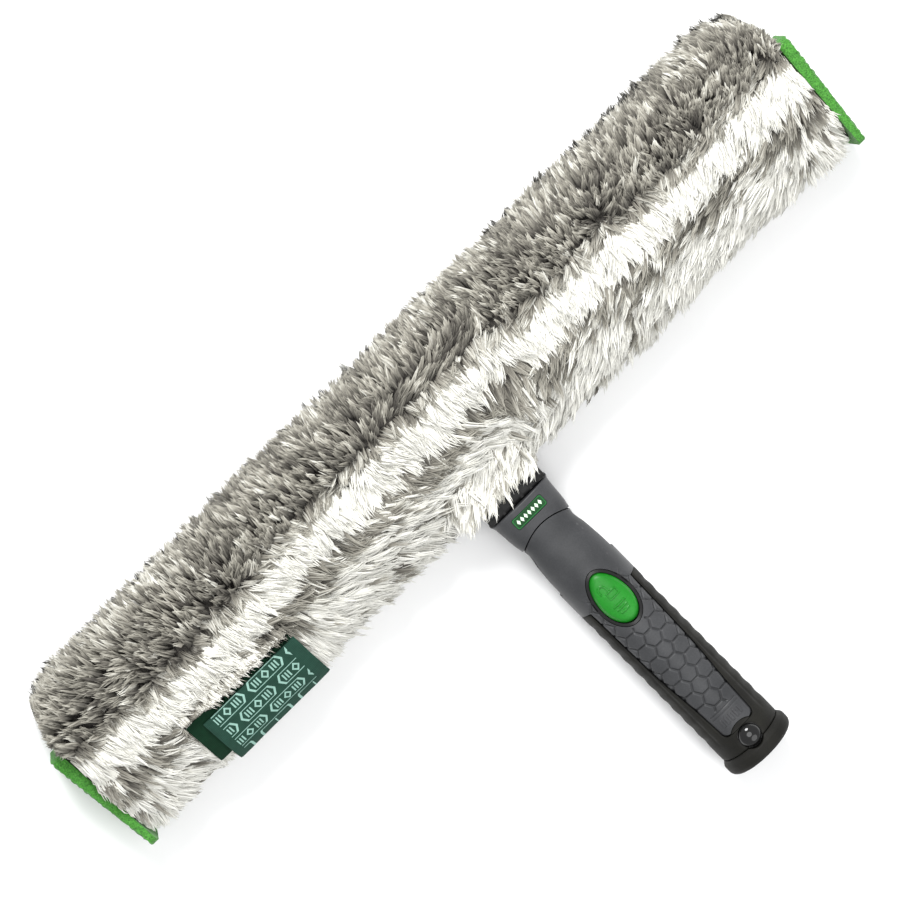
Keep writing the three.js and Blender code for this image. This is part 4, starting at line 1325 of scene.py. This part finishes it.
def grow_zone(name, zone, rng):
    """A zone's strands: root, bend and tip points, widths, shades and the skin's normal."""
    x, place = lock_roots(name, zone, rng)
    locks = len(x)
    s = CURVE[place, 0]
    shade = lock_shades(zone, x, s, rng)
    wander = lock_wander(zone, x, s, rng)
    lean = zone["lean"] + rng.normal(0, 11, locks) + 8 * ripple(x, s, 26, 33)
    if zone["comb"] < 0:
        lean = lean + 38 * combed_patch(x, s) + 14 * smoothstep(232, 222, s)
    over_yoke = (np.abs(x) < YOKE_SIDE + 4) & (s < 186) & (NORMAL[place, 1] > 0)
    lean = np.radians(np.where(over_yoke, 76, lean))
    shade = np.where(over_yoke & (np.random.default_rng(SEED).uniform(0, 1, locks) < 0.16), 0.64, shade)
    if name == "parting":
        shade = np.minimum(shade, 0.72)
    wander = np.where(over_yoke, np.radians(rng.normal(-44, 18, locks)), wander)
    length = zone["length"] * rng.uniform(0.78, 1.1, locks) * np.where(over_yoke, 1.12, 1)
    length *= 1 - (0.25 + 0.25 * smoothstep(200, 185, s)) * smoothstep(HALF - 9, HALF, np.abs(x))
    if zone["comb"] < 0:
        length *= 1 - 0.10 * x / HALF
    n = STRANDS_A_LOCK
    lock = np.repeat(np.arange(locks), n)
    tuft = 0.85 if zone["comb"] < 0 else 1.1
    spread = rng.normal(0, tuft, (locks * n, 2))
    step = np.rint(spread[:, 1] / (PERIMETER / TURN)).astype(int)
    at = (place[lock] + step) % TURN
    inset = 1.2 if zone["comb"] > 0 else 6.5
    root_x = np.clip(x[lock] + spread[:, 0], -HALF + inset, HALF - inset)
    depth = ground_depth(root_x, at) + 0.8
    root = np.column_stack([root_x, CURVE[at] - NORMAL[at] * depth[:, None]])
    up = np.column_stack([np.zeros(locks), NORMAL[place]])
    flow = np.column_stack([np.zeros(locks), TANGENT[place]]) * zone["comb"]
    up[over_yoke] = (0.0, 0.0, 1.0)
    flow[over_yoke] = (0.0, -1.0, -0.08)
    combed = flow * np.cos(wander)[:, None] + np.array([1.0, 0, 0]) * np.sin(wander)[:, None]
    later = np.clip(lean + np.radians(26), 0, np.radians(94))
    first = up * np.cos(lean)[:, None] + combed * np.sin(lean)[:, None]
    second = up * np.cos(later)[:, None] + combed * np.sin(later)[:, None]
    reach = (length[:, None] * 0.5 * (first + second))[lock]
    half_way = (length[:, None] * 0.55 * first)[lock]
    centre = np.column_stack([x, CURVE[place] - NORMAL[place] * (ground_depth(x, place) + 0.8)[:, None]])
    offset = root - centre[lock]
    scale = rng.uniform(0.72, 1.08, locks * n)[:, None]
    bend = root + half_way * scale - offset * 0.3 + rng.normal(0, 0.25, root.shape)
    tip = root + reach * scale - offset * 0.72 + rng.normal(0, 0.38, root.shape)
    if name != "underside":
        bend = keep_off_tape(bend, root, 0.0, rng)
        tip = keep_off_tape(tip, root, 5.2, rng)
    root, bend, tip = lean_ends(root), lean_ends(clear_of_yoke(bend)), lean_ends(clear_of_yoke(tip))
    bend, tip = clear_of_pads(bend, rng), clear_of_pads(tip, rng)
    shades = np.clip(shade[lock] + rng.normal(0, 0.05, locks * n), 0.0, 1.0)
    width = rng.uniform(0.30, 0.56, locks * n) * (1.12 if zone["comb"] < 0 else 0.92)
    return root, bend, tip, width, shades, up[lock]


def grow_end(side, rng):
    """Strands on the sleeve's closed end, between its pad and the working edge."""
    middle = np.array([PAD_HIGH.y + 1, (PAD_LOW.z + PAD_HIGH.z) / 2])
    count = 2000
    index = rng.integers(0, TURN, count)
    station = np.full(count, side * (HALF - 2.5))
    rim = CURVE[index] - NORMAL[index] * (ground_depth(station, index) + 1.2)[:, None]
    place = middle + (rim - middle) * np.sqrt(rng.uniform(0, 1, count))[:, None]
    kept = place[:, 0] > PAD_HIGH.y - 1.5
    place = place[kept]
    locks = len(place)
    away = (place - middle) / 16
    out = 0.55 - 0.2 * np.clip(away[:, 0], 0, 1.2)
    lean = np.column_stack([side * out, 0.4 + 0.5 * away[:, 0], 0.8 * away[:, 1]])
    lean = lean + rng.normal(0, 0.3, lean.shape)
    lean /= np.linalg.norm(lean, axis=1, keepdims=True)
    n = STRANDS_A_LOCK
    lock = np.repeat(np.arange(locks), n)
    centre = np.column_stack([np.full(locks, side * (HALF - 4.6)), place])
    offset = np.column_stack([np.zeros(locks * n), rng.normal(0, 0.9, (locks * n, 2))])
    root = centre[lock] + offset
    reach = (lean * rng.uniform(7.0, 9.5, locks)[:, None])[lock] * rng.uniform(0.75, 1.05, locks * n)[:, None]
    bend = root + reach * 0.5 - offset * 0.3 + rng.normal(0, 0.25, root.shape)
    tip = root + reach - offset * 0.7 + rng.normal(0, 0.35, root.shape) - np.array([0, 0, 0.8])
    shade = rng.choice([0.2, 0.42, 0.62], locks, p=[0.25, 0.5, 0.25]) + rng.normal(0, 0.08, locks)
    shades = np.clip(shade[lock] + rng.normal(0, 0.05, locks * n), 0, 1)
    width = rng.uniform(0.33, 0.6, locks * n)
    return root, clear_of_pads(bend, rng), clear_of_pads(tip, rng), width, shades, lean[lock]


def strand_mesh(name, root, bend, tip, width, shades, up):
    """Closed, tapering strands of three rings of three points and a tip, as one mesh."""
    count = len(root)
    steps = np.array([0.0, 0.38, 0.74])
    thick = np.array([0.75, 1.0, 0.72])
    t = steps[None, :, None]
    control = 2 * bend - 0.5 * (root + tip)
    line = (1 - t) ** 2 * root[:, None] + 2 * t * (1 - t) * control[:, None] + t**2 * tip[:, None]
    along = tip - root
    along /= np.linalg.norm(along, axis=1, keepdims=True) + 1e-9
    helper = np.where(np.abs(along[:, 2:3]) > 0.9, [[1.0, 0, 0]], [[0, 0, 1.0]])
    a = np.cross(along, helper)
    a /= np.linalg.norm(a, axis=1, keepdims=True) + 1e-9
    b = np.cross(along, a)
    angle = np.arange(3) * 2 * math.pi / 3
    around = a[:, None] * np.cos(angle)[None, :, None] + b[:, None] * np.sin(angle)[None, :, None]
    ring = line[:, :, None] + around[:, None] * (width[:, None, None, None] * thick[None, :, None, None])
    points = np.concatenate([ring.reshape(count, 9, 3), tip[:, None]], axis=1)
    points[..., 2] = np.maximum(points[..., 2], FLOOR_Z + 0.35)
    quads = [
        (r * 3 + i, r * 3 + (i + 1) % 3, r * 3 + 3 + (i + 1) % 3, r * 3 + 3 + i)
        for r in (0, 1)
        for i in range(3)
    ]
    tris = [(6 + i, 6 + (i + 1) % 3, 9) for i in range(3)] + [(2, 1, 0)]
    corners = np.array([v for face in quads + tris for v in face])
    sizes = np.array([4] * len(quads) + [3] * len(tris))
    loops = (corners[None] + (np.arange(count) * 10)[:, None]).reshape(-1)
    first = np.concatenate([[0], np.cumsum(sizes)[:-1]])
    starts = (first[None] + (np.arange(count) * len(corners))[:, None]).reshape(-1)
    mesh = bpy.data.meshes.new(name)
    mesh.vertices.add(count * 10)
    mesh.vertices.foreach_set("co", to_frame(points).astype(np.float32).reshape(-1))
    mesh.loops.add(len(loops))
    mesh.loops.foreach_set("vertex_index", loops.astype(np.int32))
    mesh.polygons.add(len(starts))
    mesh.polygons.foreach_set("loop_start", starts.astype(np.int32))
    mesh.polygons.foreach_set("use_smooth", np.ones(len(starts), bool))
    mesh.update(calc_edges=True)
    height = np.array([0.0] * 3 + [0.4] * 3 + [0.75] * 3 + [1.0])[corners]
    uv = np.empty((count, len(corners), 2))
    uv[..., 0] = np.clip(shades, 0.01, 0.99)[:, None] + (corners[None] % 3 - 1) * 0.003
    uv[..., 1] = 0.02 + 0.96 * height[None]
    layer = mesh.uv_layers.new(name="OFBake")
    layer.data.foreach_set("uv", uv.astype(np.float32).reshape(-1))
    soft = np.repeat(around[:, None], 3, axis=1).reshape(count, 9, 3) * 0.62
    soft = np.concatenate([soft + up[:, None] * 0.62, (up + along * 0.5)[:, None]], axis=1)
    soft /= np.linalg.norm(soft, axis=2, keepdims=True)
    mesh.normals_split_custom_set_from_vertices(soft.reshape(-1, 3).astype(np.float32))
    mesh.materials.append(PILE)
    obj = bpy.data.objects.new(name, mesh)
    bpy.context.scene.collection.objects.link(obj)
    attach(obj, "head")
    return obj


def build_pile():
    for number, (name, zone) in enumerate(ZONES.items()):
        rng = np.random.default_rng(SEED * 100 + number)
        parts = grow_zone(name, zone, rng)
        order = np.argsort(parts[0][:, 0], kind="stable")
        pieces = max(1, math.ceil(len(order) / STRAND_LIMIT))
        for k, chosen in enumerate(np.array_split(order, pieces)):
            label = f"pile_{name}" if pieces == 1 else f"pile_{name}_{k + 1}"
            strand_mesh(label, *[p[chosen] for p in parts])
    for word, side in (("left", -1), ("right", 1)):
        strand_mesh(f"pile_end_{word}", *grow_end(side, np.random.default_rng(SEED * 100 + 50 + side)))


build_ground()
build_pile()


# ---------------------------------------------------------------- end pads, strap and label


def build_end_pad(word, side):
    """A green scrub pad with a slanted outer side, soft edges and a fibrous face."""
    low, high = local(f"sleeve_end_pad_{word}")
    inner = HALF + GAP
    outer = max(abs(low.x), abs(high.x))
    rows = np.linspace(low.y, high.y, 90)
    slant = np.interp(rows, [low.y, high.y - 3], [0.9, outer - inner])
    rings = []
    for s, thick in zip(rows, slant):
        reach = min(s - low.y, high.y - s, 4)
        drop = 4 - math.sqrt(max(0, 16 - (4 - reach) ** 2))
        heights = np.linspace(low.z + drop + 0.2, high.z - drop - 0.2, 36)
        fuzz = 0.28 * ripple(np.full(36, s), heights, 5, 41) + 0.2 * ripple(np.full(36, s), heights, 2.2, 42)
        rim = np.clip(1 - np.minimum(heights - heights[0], heights[-1] - heights) / 1.2, 0, 1) ** 2
        face = inner + np.maximum(0.4, thick + fuzz - 0.35 - 0.6 * rim)
        x = np.concatenate([face, np.full(36, inner - end_slant(s))])
        z = np.concatenate([heights, heights[::-1]])
        rings.append(np.column_stack([side * x, np.full(72, s), z]))
    pad = from_rings(f"end_pad_{word}", np.array(rings))
    finish_piece(pad, PAD, "head", [f"sleeve_end_pad_{word}"], 45)


def surface_strip(name, x, reach, lift, across=60, wave=0.25):
    """A thin tape on the sleeve's upper side, between two section places."""
    along = np.linspace(reach[0], reach[1], 26)
    p = np.column_stack([np.interp(along, np.arange(TURN), CURVE[:, k]) for k in (0, 1)])
    n = np.column_stack([np.interp(along, np.arange(TURN), NORMAL[:, k]) for k in (0, 1)])
    rings = []
    for at in np.linspace(x[0], x[1], across):
        rise = wave * ripple(np.full(26, at), p[:, 0], 30, 51)
        rim = np.clip(1 - min(at - x[0], x[1] - at) / 0.8, 0, 1) ** 2 * 0.3
        top = p + n * (lift[1] + rise - rim)[:, None]
        low = p + n * (lift[0] + rise)[:, None]
        ring = np.vstack([top, low[::-1]])
        rings.append(np.column_stack([np.full(len(ring), at), ring]))
    strip = from_rings(name, np.array(rings))
    add_tape_map(strip, x, p)
    length = np.hypot(*np.diff(p + n * lift[0], axis=0).T).sum()
    return strip, length


def add_tape_map(strip, x, path):
    """A map over the tape: the figure's repeats across, and its rows from the edge."""
    mesh = strip.data
    layer = mesh.uv_layers.new(name="tape")
    co = np.array([v.co for v in mesh.vertices])
    run = np.concatenate([[0], np.cumsum(np.hypot(*np.diff(path, axis=0).T))])
    order = np.argsort(path[:, 0])
    across = (co[:, 0] / MM - x[0]) / 23.0
    rows = np.interp((co[:, 1] - HANDLE_END) / MM, path[order, 0], run[order]) / 8.6
    vertex = np.array([loop.vertex_index for loop in mesh.loops])
    layer.data.foreach_set("uv", np.column_stack([across, rows])[vertex].astype(np.float32).reshape(-1))


def section_index(s):
    """The section place on the sleeve's upper side at a distance s."""
    return UPPER[np.argmin(np.abs(CURVE[UPPER, 0] - s))]


def build_closure():
    reach = (section_index(STRAP_HIGH.y - 0.4), section_index(STRAP_LOW.y + 0.4))
    strap, length = surface_strip("closure_tape", (STRAP_LOW.x, STRAP_HIGH.x), reach, (0.5, 1.7))
    finish_piece(strap, STRAP, "head", ["closure_strap"], 50)
    reach = (section_index(LABEL_HIGH.y - 1), section_index(LABEL_LOW.y + 0.4))
    label, length = surface_strip("closure_tab", (LABEL_LOW.x, LABEL_HIGH.x), reach, (2.1, 3.1))
    finish_piece(label, LABEL, "head", ["closure_label"], 50)


build_end_pad("left", -1)
build_end_pad("right", 1)
build_closure()
